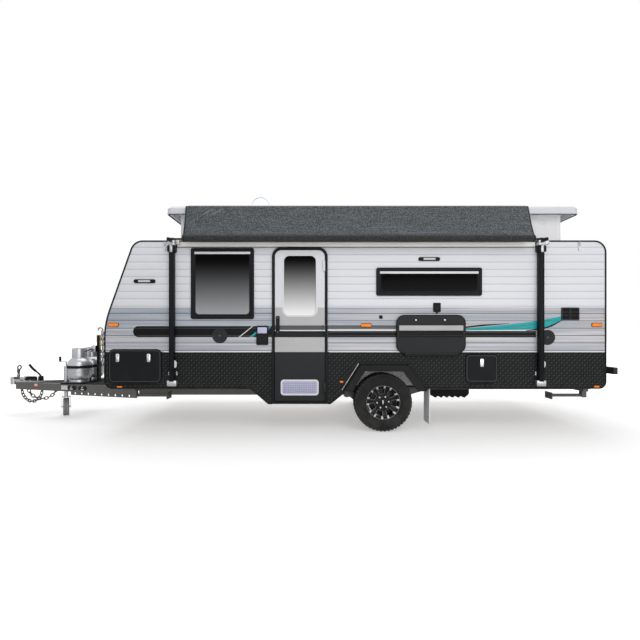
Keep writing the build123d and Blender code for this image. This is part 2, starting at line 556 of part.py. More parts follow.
# Awning: two box arms on the wall, the roller between their heads and the cloth up to the roof edge
arms = []
for x in AWNING_ARMS:
    piece = block(x - 38, x + 38, -SKIN - 68, -SKIN - 6, 610, WALL_TOP)
    piece += block(x - 50, x + 50, -SKIN - 8, -SKIN, 566, 720)
    piece += block(x - 45, x + 45, -SKIN - 8, -HALF_WIDTH, ROLLER_Z - 120, ROLLER_Z)
    piece += block(x - 15, x + 15, ROLLER_Y - 16, -SKIN - 61, ROLLER_Z - 25, WALL_TOP)
    arms.append(piece)
nodes["awning_arms"] = parts_of(*arms)
roller = rod((AWNING[0] - 6, ROLLER_Y, ROLLER_Z), (AWNING[1] + 6, ROLLER_Y, ROLLER_Z), ROLLER_R)
pin_z = ROLLER_Z - 6
roller += rod((AWNING_ARMS[0] + 15, ROLLER_Y, pin_z), (AWNING_ARMS[1] - 15, ROLLER_Y, pin_z), 11)
nodes["awning_roller"] = roller
sheet_line = [SHEET_FOOT, SHEET_HEAD, (SHEET_HEAD[0] - 4, SHEET_HEAD[1]),
              (SHEET_FOOT[0] - 4, SHEET_FOOT[1])]
sheet_face = Plane.YZ * polygon(sheet_line)
nodes["awning_sheet"] = Pos(AWNING[0], 0, 0) * extrude(sheet_face, amount=AWNING[1] - AWNING[0])

# Raised roof, its canvas curtain and what stands on it
roof = block(ROOF[0], ROOF[1], -ROOF_HALF, ROOF_HALF, *ROOF_Z)
roof = fillet(roof.edges().filter_by(Axis.Z), 70)
roof = chamfer(roof.faces().sort_by(Axis.Z)[-1].edges(), 28)
roof -= block(ROOF[0] + 45, ROOF[1] - 45, -ROOF_HALF + 45, ROOF_HALF - 45, WALL_TOP + 238, ROOF_Z[1] - 34)
crown = Pos((ROOF[0] + ROOF[1]) / 2, 0, ROOF_Z[1]) * Rectangle(ROOF[1] - ROOF[0] - 120, 2 * ROOF_HALF - 120)
roof += extrude(crown, amount=22, taper=70)
roof += block(AWNING[0], AWNING[1], SHEET_HEAD[0], -ROOF_HALF + 4, ROOF_Z[1] - 35, ROOF_Z[1])
nodes["roof_shell"] = roof
curtain = block(CURTAIN[0], CURTAIN[1], -CURTAIN_HALF, CURTAIN_HALF, WALL_TOP, ROOF_Z[1] - 34)
curtain -= block(CURTAIN[0] + 4, CURTAIN[1] - 4, 4 - CURTAIN_HALF, CURTAIN_HALF - 4,
                 WALL_TOP - 200, ROOF_Z[1] + 200)
nodes["curtain"] = curtain
CROWN_Z = ROOF_Z[1] + 22
hatch_top = block(27 * BAY, 32 * BAY, -250, 250, CROWN_Z, CROWN_Z + 40)
hatch_top = chamfer(hatch_top.faces().sort_by(Axis.Z)[-1].edges(), 20)
HOOP_X = 17.9 * BAY
HOOP_Y = 280 - ROOF_HALF
hoop_face = Pos(HOOP_X, CROWN_Z + 53) * (Circle(115) - Circle(107))
hoop_face &= Pos(HOOP_X, CROWN_Z + 153) * Rectangle(400, 200)
hoop = slab(hoop_face, HOOP_Y - 6, HOOP_Y + 6)
for s in (-1, 1):
    hoop += block(HOOP_X + s * 111 - 4, HOOP_X + s * 111 + 4, HOOP_Y - 6, HOOP_Y + 6, CROWN_Z, CROWN_Z + 54)
nodes["roof_fittings"] = parts_of(hatch_top, hoop)


if __name__ == "__main__":
    for name, shape in nodes.items():
        export_step(Pos(SHIFT_X, SHIFT_Y, 0) * shape, os.path.join("parts", name + ".step"))
    print(len(nodes), "nodes")
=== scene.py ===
"""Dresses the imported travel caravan: finishes for its CAD pieces, shaped pieces in place of plain ones."""
import math

import bmesh
import bpy
import numpy as np
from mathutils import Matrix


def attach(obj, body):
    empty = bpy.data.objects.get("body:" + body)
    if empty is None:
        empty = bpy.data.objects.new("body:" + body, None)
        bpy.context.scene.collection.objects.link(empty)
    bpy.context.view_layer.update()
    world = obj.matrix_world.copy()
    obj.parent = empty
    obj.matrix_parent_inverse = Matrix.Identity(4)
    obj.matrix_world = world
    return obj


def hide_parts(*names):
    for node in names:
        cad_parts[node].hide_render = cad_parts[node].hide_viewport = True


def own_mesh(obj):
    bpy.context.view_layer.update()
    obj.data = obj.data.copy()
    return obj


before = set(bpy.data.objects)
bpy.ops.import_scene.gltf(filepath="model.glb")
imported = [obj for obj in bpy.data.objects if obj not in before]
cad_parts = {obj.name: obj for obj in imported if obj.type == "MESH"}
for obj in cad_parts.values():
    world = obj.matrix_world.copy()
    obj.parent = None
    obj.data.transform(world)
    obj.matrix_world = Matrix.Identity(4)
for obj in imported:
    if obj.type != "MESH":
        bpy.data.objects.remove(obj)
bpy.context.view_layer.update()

# Sizes are the drawing's millimetres: X from the front of the body to the rear, the door side at -Y, the ground
# at Z = 0. NEAR, SKIRT and LEAF are the outer faces of the near wall, of its skirt and of the door and hatches.
SHIFT = np.array([-2.0875, 0.0705, 0.0])
LENGTH = 5900.0
NEAR = -1150.0
SKIRT = -1154.0
LEAF = -1162.0
WALL_TOP = 2262.0
FLOOR_Z = 520.0
AXLE = np.array([3288.0, -1007.5, 348.0])
TAU = 2 * math.pi
ORIGIN = (0, 0, 0)
OUTWARDS, INWARDS, REARWARDS = (0, -1, 0), (0, 1, 0), (1, 0, 0)


def metres(points):
    """Drawing millimetres to the frame's metres: a thousandth of each, then the shift of the origin."""
    return np.asarray(points, float) / 1000.0 + SHIFT


# Shapes

def skin(points, ring_rows=False, ring_cols=True, caps=True):
    """A grid of points as quads between neighbours, either way closed into a ring, its end rows capped."""
    rows, cols = points.shape[:2]
    i, j = np.meshgrid(np.arange(rows - (not ring_rows)), np.arange(cols - (not ring_cols)), indexing="ij")
    i2, j2 = (i + 1) % rows, (j + 1) % cols
    quads = np.stack([i * cols + j, i * cols + j2, i2 * cols + j2, i2 * cols + j], -1).reshape(-1, 4)
    faces = [quads]
    if caps and ring_cols and not ring_rows:
        faces.append(np.arange(cols)[None, ::-1])
        faces.append(np.arange(cols)[None] + (rows - 1) * cols)
    return points.reshape(-1, 3), faces


def together(parts):
    """Several surfaces as one: their points stacked, their faces renumbered."""
    points, faces, start = [], [], 0
    for verts, loops in parts:
        points.append(verts)
        faces += [loop + start for loop in loops]
        start += len(verts)
    return np.concatenate(points), faces


def shifted(part, x=0.0, y=0.0, z=0.0):
    """The same surface moved along."""
    return part[0] + np.array([x, y, z]), part[1]


def across(part):
    """The same surface on the far side: Y turned round, and each face's order with it."""
    return part[0] * np.array([1.0, -1.0, 1.0]), [loop[:, ::-1] for loop in part[1]]


def on_side(part, far):
    """A surface drawn for the near side, left there or mirrored to the far one."""
    return across(part) if far else part


def both_sides(*parts):
    """Surfaces of the near side as one, with their mirror image on the far side."""
    near = together(parts)
    return together([near, across(near)])


def turned(part, axis, degrees, centre=ORIGIN):
    """The same surface turned about an axis through a centre: two coordinates by cosine and sine."""
    a = math.radians(degrees)
    p = part[0] - np.array(centre, float)
    u, v = {"x": (1, 2), "y": (2, 0), "z": (0, 1)}[axis]
    q = p.copy()
    q[:, u] = p[:, u] * math.cos(a) - p[:, v] * math.sin(a)
    q[:, v] = p[:, u] * math.sin(a) + p[:, v] * math.cos(a)
    return q + np.array(centre, float), part[1]


def at_depth(line, y):
    """A line of X and Z as points at one depth Y."""
    return np.insert(np.asarray(line, float), 1, y, axis=1)


def at_height(line, z):
    """A line of X and Y as points at one height Z."""
    return np.insert(np.asarray(line, float), 2, z, axis=1)


def rounded_line(x0, x1, z0, z1, r, grow=0.0, per=7):
    """A rounded rectangle: four quarter circles of radius r + grow about the corners' centres."""
    radius = max(r + grow, 0.5)
    quarter = np.linspace(0, TAU / 4, per)
    angle = (quarter[None] + np.arange(4)[:, None] * TAU / 4).ravel()
    in_x, in_z = x1 + grow - radius, z1 + grow - radius
    out_x, out_z = x0 - grow + radius, z0 - grow + radius
    cx = np.repeat([in_x, out_x, out_x, in_x], per)
    cz = np.repeat([in_z, in_z, out_z, out_z], per)
    return np.stack([cx + radius * np.cos(angle), cz + radius * np.sin(angle)], -1)


def stacked(size, rows, per):
    """A rounded rectangle at each row's depth, grown by the row's second number: a grid of points."""
    return np.stack([at_depth(rounded_line(*size, grow=grow, per=per), y) for y, grow in rows])


def pillow(size, rows, per=7):
    """A plate facing the door side: a rounded rectangle at each depth, grown or shrunk to ease its edge."""
    return skin(stacked(size, rows, per))


def bezel(size, section, per=7):
    """A frame: a closed section of depth and growth carried round a rounded rectangle."""
    return skin(stacked(size, section, per), ring_rows=True)


def eased(size, y0, y1, ease=3.0, per=7):
    """A plate between two depths, y0 the outer, with the outer edge rounded by three chords."""
    return pillow(size, [(y1, 0.0), (y0 + ease, 0.0), (y0 + ease * 0.3, -ease * 0.3), (y0, -ease)], per)


def box(x0, x1, y0, y1, z0, z1, ease=3.0):
    """A block with eased edges: a rounded rectangle in plan at four heights."""
    rows = [(z0, -ease), (z0 + ease, 0.0), (z1 - ease, 0.0), (z1, -ease)]
    lines = [at_height(rounded_line(x0, x1, y0, y1, ease, grow=grow * 0.7, per=3), z) for z, grow in rows]
    return skin(np.stack(lines))


def spun(profile, centre, axis="z", count=64, arc=None, ring=False):
    """A profile turned about an axis: radius times cosine and sine, height along the axis."""
    profile = np.asarray(profile, float)
    if arc is None:
        angle = np.linspace(0, TAU, count, endpoint=False)
    else:
        angle = np.radians(np.linspace(arc[0], arc[1], count))
    r, h = profile[:, 0][:, None], profile[:, 1][:, None] + 0 * angle[None]
    c, s = r * np.cos(angle)[None], r * np.sin(angle)[None]
    order = {"z": (c, s, h), "x": (h, c, s), "y": (s, h, c)}[axis]
    grid = np.stack(order, -1) + np.asarray(centre, float)
    if arc is not None:
        return skin(np.swapaxes(grid, 0, 1), ring_cols=ring)
    return skin(grid, ring_rows=ring, caps=False)


def smooth_line(points, count, closed=False):
    """A line through points: the cubic whose slope at each point is half the step between its neighbours."""
    p = np.asarray(points, float)
    if closed:
        p = np.concatenate([p[-1:], p, p[:2]])
    else:
        p = np.concatenate([2 * p[:1] - p[1:2], p, 2 * p[-1:] - p[-2:-1]])
    spans = len(p) - 3
    t = np.linspace(0, spans, count, endpoint=not closed)
    k = np.minimum(t.astype(int), spans - 1)
    f = (t - k)[:, None]
    a, b, c, d = p[k], p[k + 1], p[k + 2], p[k + 3]
    return 0.5 * (2 * b + (c - a) * f + (2 * a - 5 * b + 4 * c - d) * f ** 2 + (3 * b - a - 3 * c + d) * f ** 3)


def run(path, section, up=(0, 0, 1), closed=False):
    """A section carried along a path: side = tangent x up, over = side x tangent, points = path + both."""
    path, section = np.asarray(path, float), np.asarray(section, float)
    if closed:
        tangent = np.roll(path, -1, 0) - np.roll(path, 1, 0)
    else:
        tangent = np.gradient(path, axis=0)
    tangent /= np.linalg.norm(tangent, axis=1)[:, None]
    side = np.cross(tangent, np.asarray(up, float))
    side /= np.maximum(np.linalg.norm(side, axis=1)[:, None], 1e-9)
    over = np.cross(side, tangent)
    if section.ndim == 2:
        section = np.repeat(section[None], len(path), 0)
    grid = path[:, None] + section[..., :1] * side[:, None] + section[..., 1:] * over[:, None]
    return skin(grid, ring_rows=closed)


def circle(r, count=12):
    """A round section."""
    a = np.linspace(0, TAU, count, endpoint=False)
    return np.stack([r * np.cos(a), r * np.sin(a)], -1)


def bar_section(wide, high, ease):
    """A flat bar's section with eased corners."""
    return rounded_line(-wide / 2, wide / 2, -high / 2, high / 2, ease, per=3)


def rod(p, q, r, count=16):
    """A round bar with eased ends, a few rings of a circle from p to q."""
    p, q = np.asarray(p, float), np.asarray(q, float)
    line = q - p
    length = np.linalg.norm(line)
    ease = min(r * 0.3, length * 0.2)
    stations = np.array([0, ease, length - ease, length]) / length
    radii = np.array([r - ease, r, r, r - ease])
    up = (0, 0, 1) if abs(line[2]) < 0.9 * length else REARWARDS
    return run(p + stations[:, None] * line, circle(1.0, count)[None] * radii[:, None, None], up)


def bolt(at, r, proud, upright=False):
    """A hexagon bolt head on a washer, standing proud towards the door side, or upright."""
    wide, low = r * 1.35, proud * 0.3
    washer = spun([(wide, 0), (wide, proud * 0.25), (r * 1.3, low), (0, low)], ORIGIN, "z", 12)
    head = spun([(r, low), (r, proud * 0.9), (r * 0.86, proud), (0, proud)], ORIGIN, "z", 6)
    return shifted(turned(together([washer, head]), "x", 0 if upright else 90), *at)


def add(name, data):
    """A new object of the scene."""
    thing = bpy.data.objects.new(name, data)
    bpy.context.scene.collection.objects.link(thing)
    return thing


def piece(name, parts, finish, stands_for=None, body="van_body", sharp=38):
    """Puts a surface, or a list of them, into the scene as one piece.

    Points go to metres, doubles are merged, faces point outwards and are smooth below the sharp angle.
    """
    verts, faces = together(parts) if isinstance(parts, list) else parts
    mesh = bpy.data.meshes.new(name)
    loops = [row for loop in faces for row in loop.tolist()]
    mesh.from_pydata(metres(verts).tolist(), [], loops)
    work = bmesh.new()
    work.from_mesh(mesh)
    bmesh.ops.remove_doubles(work, verts=work.verts, dist=2e-6)
    bmesh.ops.dissolve_degenerate(work, edges=work.edges, dist=1e-7)
    bmesh.ops.recalc_face_normals(work, faces=work.faces)
    work.to_mesh(mesh)
    work.free()
    mesh.polygons.foreach_set("use_smooth", np.ones(len(mesh.polygons), bool))
    mesh.set_sharp_from_angle(angle=math.radians(sharp))
    mesh.materials.append(finish)
    thing = add(name, mesh)
    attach(thing, body)
    if stands_for:
        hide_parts(stands_for)
    return thing


# Finishes

class Nodes:
    """A node tree and the steps that finishes are made of; each step gives its result's socket."""

    def __init__(self, tree):
        self.tree = tree

    def feed(self, socket, value):
        """Links a socket to another one, or sets it; a colour gets its alpha."""
        if isinstance(value, bpy.types.NodeSocket):
            self.tree.links.new(value, socket)
        elif socket.type == "RGBA":
            socket.default_value = (*value[:3], 1.0)
        else:
            socket.default_value = value

    def put(self, kind, feeds=None, **settings):
        """A node with its settings, its sockets linked or set."""
        node = self.tree.nodes.new(kind)
        for key, value in settings.items():
            setattr(node, key, value)
        for key, value in (feeds or {}).items():
            self.feed(node.inputs[key], value)
        return node

    def sums(self, operation, *terms, clamp=False):
        """One arithmetic step between sockets or numbers."""
        feeds = dict(enumerate(terms))
        return self.put("ShaderNodeMath", feeds, operation=operation, use_clamp=clamp).outputs[0]

    def plus(self, a, b):
        return self.sums("ADD", a, b)

    def less(self, a, b):
        return self.sums("SUBTRACT", a, b)

    def times(self, a, b):
        return self.sums("MULTIPLY", a, b)

    def over(self, a, b):
        return self.sums("DIVIDE", a, b)

    def size_of(self, a):
        return self.sums("ABSOLUTE", a)

    def rest_of(self, a):
        """What is left of one."""
        return self.less(1.0, a)

    def step(self, value, low, high):
        """Nought at low, one at high, smooth between."""
        feeds = {"Value": value, "From Min": low, "From Max": high}
        return self.put("ShaderNodeMapRange", feeds, interpolation_type="SMOOTHSTEP").outputs[0]

    def mix(self, factor, a, b):
        """Colour a where the factor is nought, b where it is one."""
        return self.put("ShaderNodeMix", {0: factor, 6: a, 7: b}, data_type="RGBA").outputs[2]

    def xyz(self, place):
        """The three coordinates of a place."""
        return self.put("ShaderNodeSeparateXYZ", {0: place}).outputs

    def noise(self, place, scale, **feeds):
        """Noise round a half."""
        return self.put("ShaderNodeTexNoise", {"Vector": place, "Scale": scale, **feeds}).outputs[0]


class Group(Nodes):
    """A shader group being made: given holds the sockets that a material sets, give fills those it reads."""

    def __init__(self, name, outputs, **inputs):
        super().__init__(bpy.data.node_groups.new(name, "ShaderNodeTree"))
        new_socket = self.tree.interface.new_socket
        new_socket("Place", in_out="INPUT", socket_type="NodeSocketVector")
        for label, value in inputs.items():
            new_socket(label, in_out="INPUT", socket_type="NodeSocketFloat").default_value = value
        for label in outputs:
            new_socket(label, in_out="OUTPUT", socket_type="NodeSocketFloat")
        self.given = self.tree.nodes.new("NodeGroupInput").outputs
        self.sink = self.tree.nodes.new("NodeGroupOutput").inputs

    def give(self, **results):
        for label, socket in results.items():
            self.feed(self.sink[label], socket)
        return self.tree


def mottle_group():
    """Slow and fine noise: two values round a half, for uneven colour, gloss and skin."""
    g = Group("mottle", ["Slow", "Fine"], Scale=4.0, Fine=60.0)
    slow = g.noise(g.given["Place"], g.given["Scale"], Detail=4.0, Roughness=0.6)
    fine = g.noise(g.given["Place"], g.given["Fine"], Detail=2.0, Roughness=0.6)
    return g.give(Slow=slow, Fine=fine)


def ribs_group():
    """Pressed ribs: the share of the way to the next rib, a groove where it is near nought, a slight crown."""
    g = Group("pressed_ribs", ["Height", "Groove", "Share"], Pitch=0.0865, First=0.971, Line=0.06)
    z = g.xyz(g.given["Place"])[2]
    share = g.sums("FRACT", g.over(g.less(z, g.given["First"]), g.given["Pitch"]))
    near = g.sums("MINIMUM", share, g.rest_of(share))
    groove = g.rest_of(g.step(near, 0.015, g.given["Line"]))
    crown = g.sums("SINE", g.times(share, math.pi))
    height = g.less(g.times(crown, 0.35), g.times(groove, 0.65))
    return g.give(Height=height, Groove=groove, Share=share)


def chequer_group():
    """Chequer plate: cells in chess order, a lozenge on either diagonal; worn tops, with a painted highlight on
    one kind.
    """
    g = Group("chequer_lozenges", ["Height", "Worn"], Pitch=0.030)
    x, y, z = g.xyz(g.given["Place"])
    u = g.over(g.plus(x, y), g.given["Pitch"])
    v = g.over(z, g.given["Pitch"])
    odd = g.sums("FLOORED_MODULO", g.plus(g.sums("FLOOR", u), g.sums("FLOOR", v)), 2.0)
    fu = g.less(g.sums("FRACT", u), 0.5)
    fv = g.less(g.sums("FRACT", v), 0.5)
    fu = g.times(fu, g.rest_of(g.times(odd, 2.0)))
    long, short = g.size_of(g.plus(fu, fv)), g.size_of(g.less(fu, fv))
    reach = g.plus(g.over(long, 0.92), g.over(short, 0.36))
    height = g.rest_of(g.step(reach, 0.55, 1.05))
    # The mask is wear on every lozenge top and a painted highlight on the tops of one diagonal.
    return g.give(Height=height, Worn=g.times(height, g.rest_of(g.times(odd, 0.7))))


def dust_group():
    """Road dust: thick low down, thinning upwards over a height, broken up by noise."""
    g = Group("road_dust", ["Mask"], Top=0.9, Amount=0.35)
    low = g.rest_of(g.step(g.xyz(g.given["Place"])[2], 0.05, g.given["Top"]))
    patch = g.step(g.noise(g.given["Place"], 9.0, Detail=5.0), 0.3, 0.75)
    return g.give(Mask=g.times(g.times(low, patch), g.given["Amount"]))


def weave_group():
    """Plain weave: warp and weft as two sine waves at right angles, over and under in chess order."""
    g = Group("plain_weave", ["Height"], Threads=900.0)
    x, y, z = g.xyz(g.given["Place"])
    warp = g.sums("SINE", g.times(g.plus(x, y), g.given["Threads"]))
    weft = g.sums("SINE", g.times(z, g.given["Threads"]))
    return g.give(Height=g.times(warp, weft))


MOTTLE = mottle_group()
RIBS = ribs_group()
CHEQUER = chequer_group()
DUST = dust_group()
WEAVE = weave_group()
WHITE = (0.73, 0.745, 0.78)
SILVER = (0.50, 0.495, 0.50)
GROOVE_SHADE_NAVY = (0.10, 0.125, 0.20)
BLACK = (0.014, 0.015, 0.016)
PAINTED_GROOVE_GREY = (0.09, 0.09, 0.10)
HEM_BLACK = (0.012, 0.012, 0.013)
DUST_COLOUR = (0.21, 0.20, 0.185)
# The silver band low down and high up: for its front and its rear, the dark and the light of its streaks.
SILVER_TONES = [(((0.39, 0.41, 0.46), (0.59, 0.58, 0.595)), ((0.43, 0.44, 0.49), (0.65, 0.625, 0.62))),
                (((0.29, 0.33, 0.395), (0.44, 0.465, 0.51)), ((0.36, 0.37, 0.42), (0.55, 0.525, 0.52)))]
# In metres: the tops of the chequer plate and of the silver band, and depths of relief.
PLATE_TOP, SILVER_TOP = 0.951, 1.475
RIB_DEPTH, LOZENGE_DEPTH, FINE_DEPTH = 0.004, 0.0022, 0.0002


def shade(colour, by):
    """A colour made lighter or darker."""
    return tuple(min(1.0, c * by) for c in colour)


class Finish(Nodes):
    """A material being made: its tree, its shader's sockets and its place on the piece."""

    def __init__(self, name, rough=0.4, metal=0.0, coat=0.0, shine=0.5, **more):
        self.material = bpy.data.materials.new(name)
        self.material.use_nodes = True
        super().__init__(self.material.node_tree)
        self.shader = self.tree.nodes["Principled BSDF"].inputs
        self.place = self.tree.nodes.new("ShaderNodeTexCoord").outputs["Object"]
        plain = {"Roughness": rough, "Metallic": metal, "Coat Weight": coat, "Coat Roughness": 0.05,
                 "Specular IOR Level": shine}
        plain.update({key.replace("_", " ").title(): value for key, value in more.items()})
        for key, value in plain.items():
            self.feed(self.shader[key], value)

    def group(self, tree, **feeds):
        """One of the shared effects, placed with its own values."""
        return self.put("ShaderNodeGroup", {"Place": self.place, **feeds}, node_tree=tree).outputs

    def streaks(self, stretch, scale, detail):
        """Noise drawn out along one way."""
        long = self.put("ShaderNodeMapping", {"Vector": self.place, "Scale": stretch})
        return self.noise(long.outputs[0], scale, Detail=detail)

    def colour(self, socket):
        self.feed(self.shader["Base Color"], socket)

    def gloss(self, value, low, high):
        """Roughness between low and high as a value goes from 0.3 to 0.7."""
        feeds = {"Value": value, "From Min": 0.3, "From Max": 0.7, "To Min": low, "To Max": high}
        self.feed(self.shader["Roughness"], self.put("ShaderNodeMapRange", feeds).outputs[0])

    def bump(self, height, depth):
        """Relief of a depth in metres, over the relief that is there already."""
        feeds = {"Height": height, "Distance": depth, "Strength": 1.0}
        for node in self.tree.nodes:
            if node.type == "BUMP":
                feeds["Normal"] = node.outputs[0]
        self.feed(self.shader["Normal"], self.put("ShaderNodeBump", feeds).outputs[0])


def painted(name, colour, rough, metal=0.0, coat=0.0, scale=3.0, fine=120.0, spread=0.12, skin_depth=FINE_DEPTH,
            dust=0.0, dust_top=0.9, shine=0.5, ribs=0.0):
    """A plain finish: colour uneven by slow noise, gloss by fine noise, a fine skin, and dust low down."""
    f = Finish(name, rough, metal, coat, shine)
    noise = f.group(MOTTLE, Scale=scale, Fine=fine)
    base = f.mix(noise["Slow"], shade(colour, 1 - spread), shade(colour, 1 + spread))
    if dust:
        base = f.mix(f.group(DUST, Top=dust_top, Amount=dust)["Mask"], base, DUST_COLOUR)
    if ribs:
        # Painted rib lines: grey in the grooves, painted shade on light colours and a painted highlight on
        # black.
        pressed = f.group(RIBS)
        base = f.mix(f.times(pressed["Groove"], ribs), base, PAINTED_GROOVE_GREY)
        f.bump(pressed["Height"], RIB_DEPTH)
    f.colour(base)
    f.gloss(noise["Fine"], max(rough - 0.07, 0.03), min(rough + 0.1, 1.0))
    f.bump(noise["Fine"], skin_depth)
    return f.material


def cladding(name):
    """Ribbed aluminium: white above, a streaked silver band with dark rib lines, black chequer plate below.

    The silver turns from cool to warm towards the rear, and darker upwards. The rib lines are painted shade
    in the grooves, with a painted highlight under each on the silver; the white is painted lighter up each rib.
    """
    f = Finish(name, 0.3, coat=0.1, shine=0.3)
    noise = f.group(MOTTLE, Scale=1.2, Fine=90.0)
    ribs = f.group(RIBS)
    lines = f.group(RIBS, Line=0.10)
    plate = f.group(CHEQUER)
    x, _, z = f.xyz(f.place)
    # Painted shade on the white: each rib lighter towards its top, and painted shade in its groove.
    white = f.mix(ribs["Share"], (0.70, 0.715, 0.77), (0.77, 0.775, 0.80))
    white = f.mix(f.times(ribs["Groove"], 0.34), white, (0.30, 0.31, 0.38))
    streak = f.step(f.streaks((0.55, 1.0, 26.0), 1.0, 4.0), 0.36, 0.66)
    rearward = f.step(x, -1.0, 3.4)
    low, high = [f.mix(rearward, f.mix(streak, *front), f.mix(streak, *rear)) for front, rear in SILVER_TONES]
    silver = f.mix(f.step(z, 1.0, 1.45), low, high)
    # A painted highlight under each groove of the silver, then painted shade in navy in the grooves.
    silver = f.mix(f.times(f.step(ribs["Share"], 0.84, 0.92), 0.5), silver, (0.78, 0.78, 0.80))
    silver = f.mix(f.times(lines["Groove"], 0.85), silver, GROOVE_SHADE_NAVY)
    # Lozenge tops lighter: wear, and a painted highlight on the lozenges of one diagonal.
    black = f.mix(plate["Worn"], shade(BLACK, 0.7), shade(BLACK, 4.5))
    black = f.mix(f.group(DUST, Top=0.95, Amount=0.12)["Mask"], black, DUST_COLOUR)
    is_white = f.step(z, SILVER_TOP - 0.0015, SILVER_TOP + 0.0015)
    is_black = f.rest_of(f.step(z, PLATE_TOP - 0.001, PLATE_TOP + 0.001))
    f.colour(f.mix(is_black, f.mix(is_white, silver, white), black))
    f.gloss(noise["Fine"], 0.22, 0.36)
    f.bump(f.times(ribs["Height"], f.rest_of(is_black)), RIB_DEPTH)
    f.bump(f.times(plate["Height"], is_black), LOZENGE_DEPTH)
    return f.material


def door_skin(name):
    """The door's smooth skin, striped by height to match the wall beside it."""
    f = Finish(name, 0.3, shine=0.1)
    noise = f.group(MOTTLE, Scale=2.0, Fine=140.0)
    z = f.xyz(f.place)[2]
    bands = [(0.952, shade(BLACK, 1.7)), (1.125, SILVER), (1.198, BLACK), (1.211, WHITE),
             (1.264, (0.10, 0.10, 0.105)), (SILVER_TOP, SILVER)]
    colour = f.mix(noise["Slow"], shade(WHITE, 0.97), shade(WHITE, 1.02))
    for top, band in reversed(bands):
        below = f.rest_of(f.step(z, top - 0.001, top + 0.001))
        colour = f.mix(below, colour, f.mix(noise["Slow"], shade(band, 0.9), shade(band, 1.1)))
    f.colour(colour)
    f.gloss(noise["Fine"], 0.24, 0.4)
    f.bump(noise["Fine"], FINE_DEPTH)
    return f.material


def chequer_plate(name):
    """Black chequer plate: lozenge tops lighter as wear, one diagonal's as a painted highlight, dust lying
    between them.
    """
    f = Finish(name, 0.42, shine=0.12)
    noise = f.group(MOTTLE, Scale=2.5, Fine=160.0)
    plate = f.group(CHEQUER)
    # Lozenge tops lighter: wear, and a painted highlight on the lozenges of one diagonal.
    base = f.mix(plate["Worn"], (0.006, 0.0065, 0.007), (0.066, 0.069, 0.071))
    base = f.mix(f.times(noise["Slow"], 0.2), base, (0.030, 0.032, 0.032))
    f.colour(f.mix(f.group(DUST, Top=0.95, Amount=0.08)["Mask"], base, DUST_COLOUR))
    f.gloss(noise["Fine"], 0.34, 0.55)
    f.bump(plate["Height"], LOZENGE_DEPTH)
    return f.material


def glass_with_painted_reflection(name, bands):
    """Dark glass graded by the square root of height: a painted reflection, lighter low down and dark at the
    top.

    bands: for each stretch of X its start, its low and high Z, and the colours there.
    """
    f = Finish(name, 0.06, shine=0.02)
    noise = f.group(MOTTLE, Scale=1.5, Fine=40.0)
    x, _, z = f.xyz(f.place)
    colour = None
    for start, low, high, bottom, top in bands:
        ramp = f.mix(f.sums("SQRT", f.step(z, low, high)), bottom, top)
        if colour is None:
            colour = ramp
        else:
            colour = f.mix(f.step(x, start - 0.01, start + 0.01), colour, ramp)
    f.colour(f.mix(f.times(noise["Slow"], 0.012), colour, (0.2, 0.2, 0.21)))
    f.gloss(noise["Fine"], 0.04, 0.09)
    return f.material


def cloth(name, colour, fleck, threads, rough, grain=260.0, slubs=0.0, hems=None, creases=()):
    """Woven cloth: thread by thread relief, flecks of a second colour, long slubs and slow unevenness.

    hems: middle X, half length at the foot, its gain per metre of height, and the foot's Z.
    creases: for each painted highlight along a crease's ridge its middle X and Z, its lean in X per metre
    of height, and its half height.
    """
    f = Finish(name, rough, shine=0.2, sheen_weight=0.15, sheen_roughness=0.5)
    noise = f.group(MOTTLE, Scale=2.2, Fine=grain)
    x, _, z = f.xyz(f.place)
    base = f.mix(noise["Slow"], shade(colour, 0.86), shade(colour, 1.14))
    base = f.mix(f.step(noise["Fine"], 0.40, 0.70), base, fleck)
    slub = f.step(f.streaks((3.0, 40.0, 70.0), 1.0, 3.0), 0.5, 0.72)
    base = f.mix(f.times(slub, slubs), base, fleck)
    if hems:
        middle, half, gain, foot = hems
        reach = f.less(f.size_of(f.less(x, middle)), f.times(f.less(z, foot), gain))
        base = f.mix(f.step(reach, half - 0.003, half + 0.003), base, HEM_BLACK)
    # A painted highlight along each crease's ridge.
    for middle, level, lean, half in creases:
        up = f.less(z, level)
        off = f.less(f.less(x, middle), f.times(up, lean))
        ridge = f.step(f.size_of(off), 0.022, 0.004)
        ends = f.step(f.size_of(up), half, 0.4 * half)
        base = f.mix(f.times(f.times(ridge, ends), 0.5), base, shade(fleck, 1.5))
    f.colour(base)
    f.gloss(noise["Slow"], rough - 0.08, rough + 0.06)
    f.bump(f.group(WEAVE, Threads=threads)["Height"], 0.0004)
    f.bump(noise["Fine"], 0.0006)
    return f.material


def tyre_finish(name):
    """Tyre rubber: nearly black, lighter grey in patches round the tread's shoulder, with dust low down."""
    f = Finish(name, 0.72, shine=0.15)
    noise = f.group(MOTTLE, Scale=7.0, Fine=220.0)
    base = f.mix(noise["Slow"], (0.010, 0.010, 0.011), (0.022, 0.022, 0.022))
    hub = metres(AXLE)
    feeds = {"Vector": f.place, "Location": (-hub[0], 0.0, -hub[2]), "Scale": (1.0, 0.0, 1.0)}
    spoke = f.put("ShaderNodeMapping", feeds).outputs[0]
    radius = f.put("ShaderNodeVectorMath", {0: spoke}, operation="LENGTH").outputs["Value"]
    shoulder = f.times(f.step(radius, 0.312, 0.326), f.step(radius, 0.346, 0.338))
    base = f.mix(f.times(shoulder, f.step(noise["Fine"], 0.45, 0.75)), base, (0.15, 0.15, 0.155))
    f.colour(f.mix(f.group(DUST, Top=0.8, Amount=0.25)["Mask"], base, (0.12, 0.11, 0.10)))
    f.gloss(noise["Fine"], 0.6, 0.85)
    f.bump(noise["Fine"], 0.0006)
    return f.material


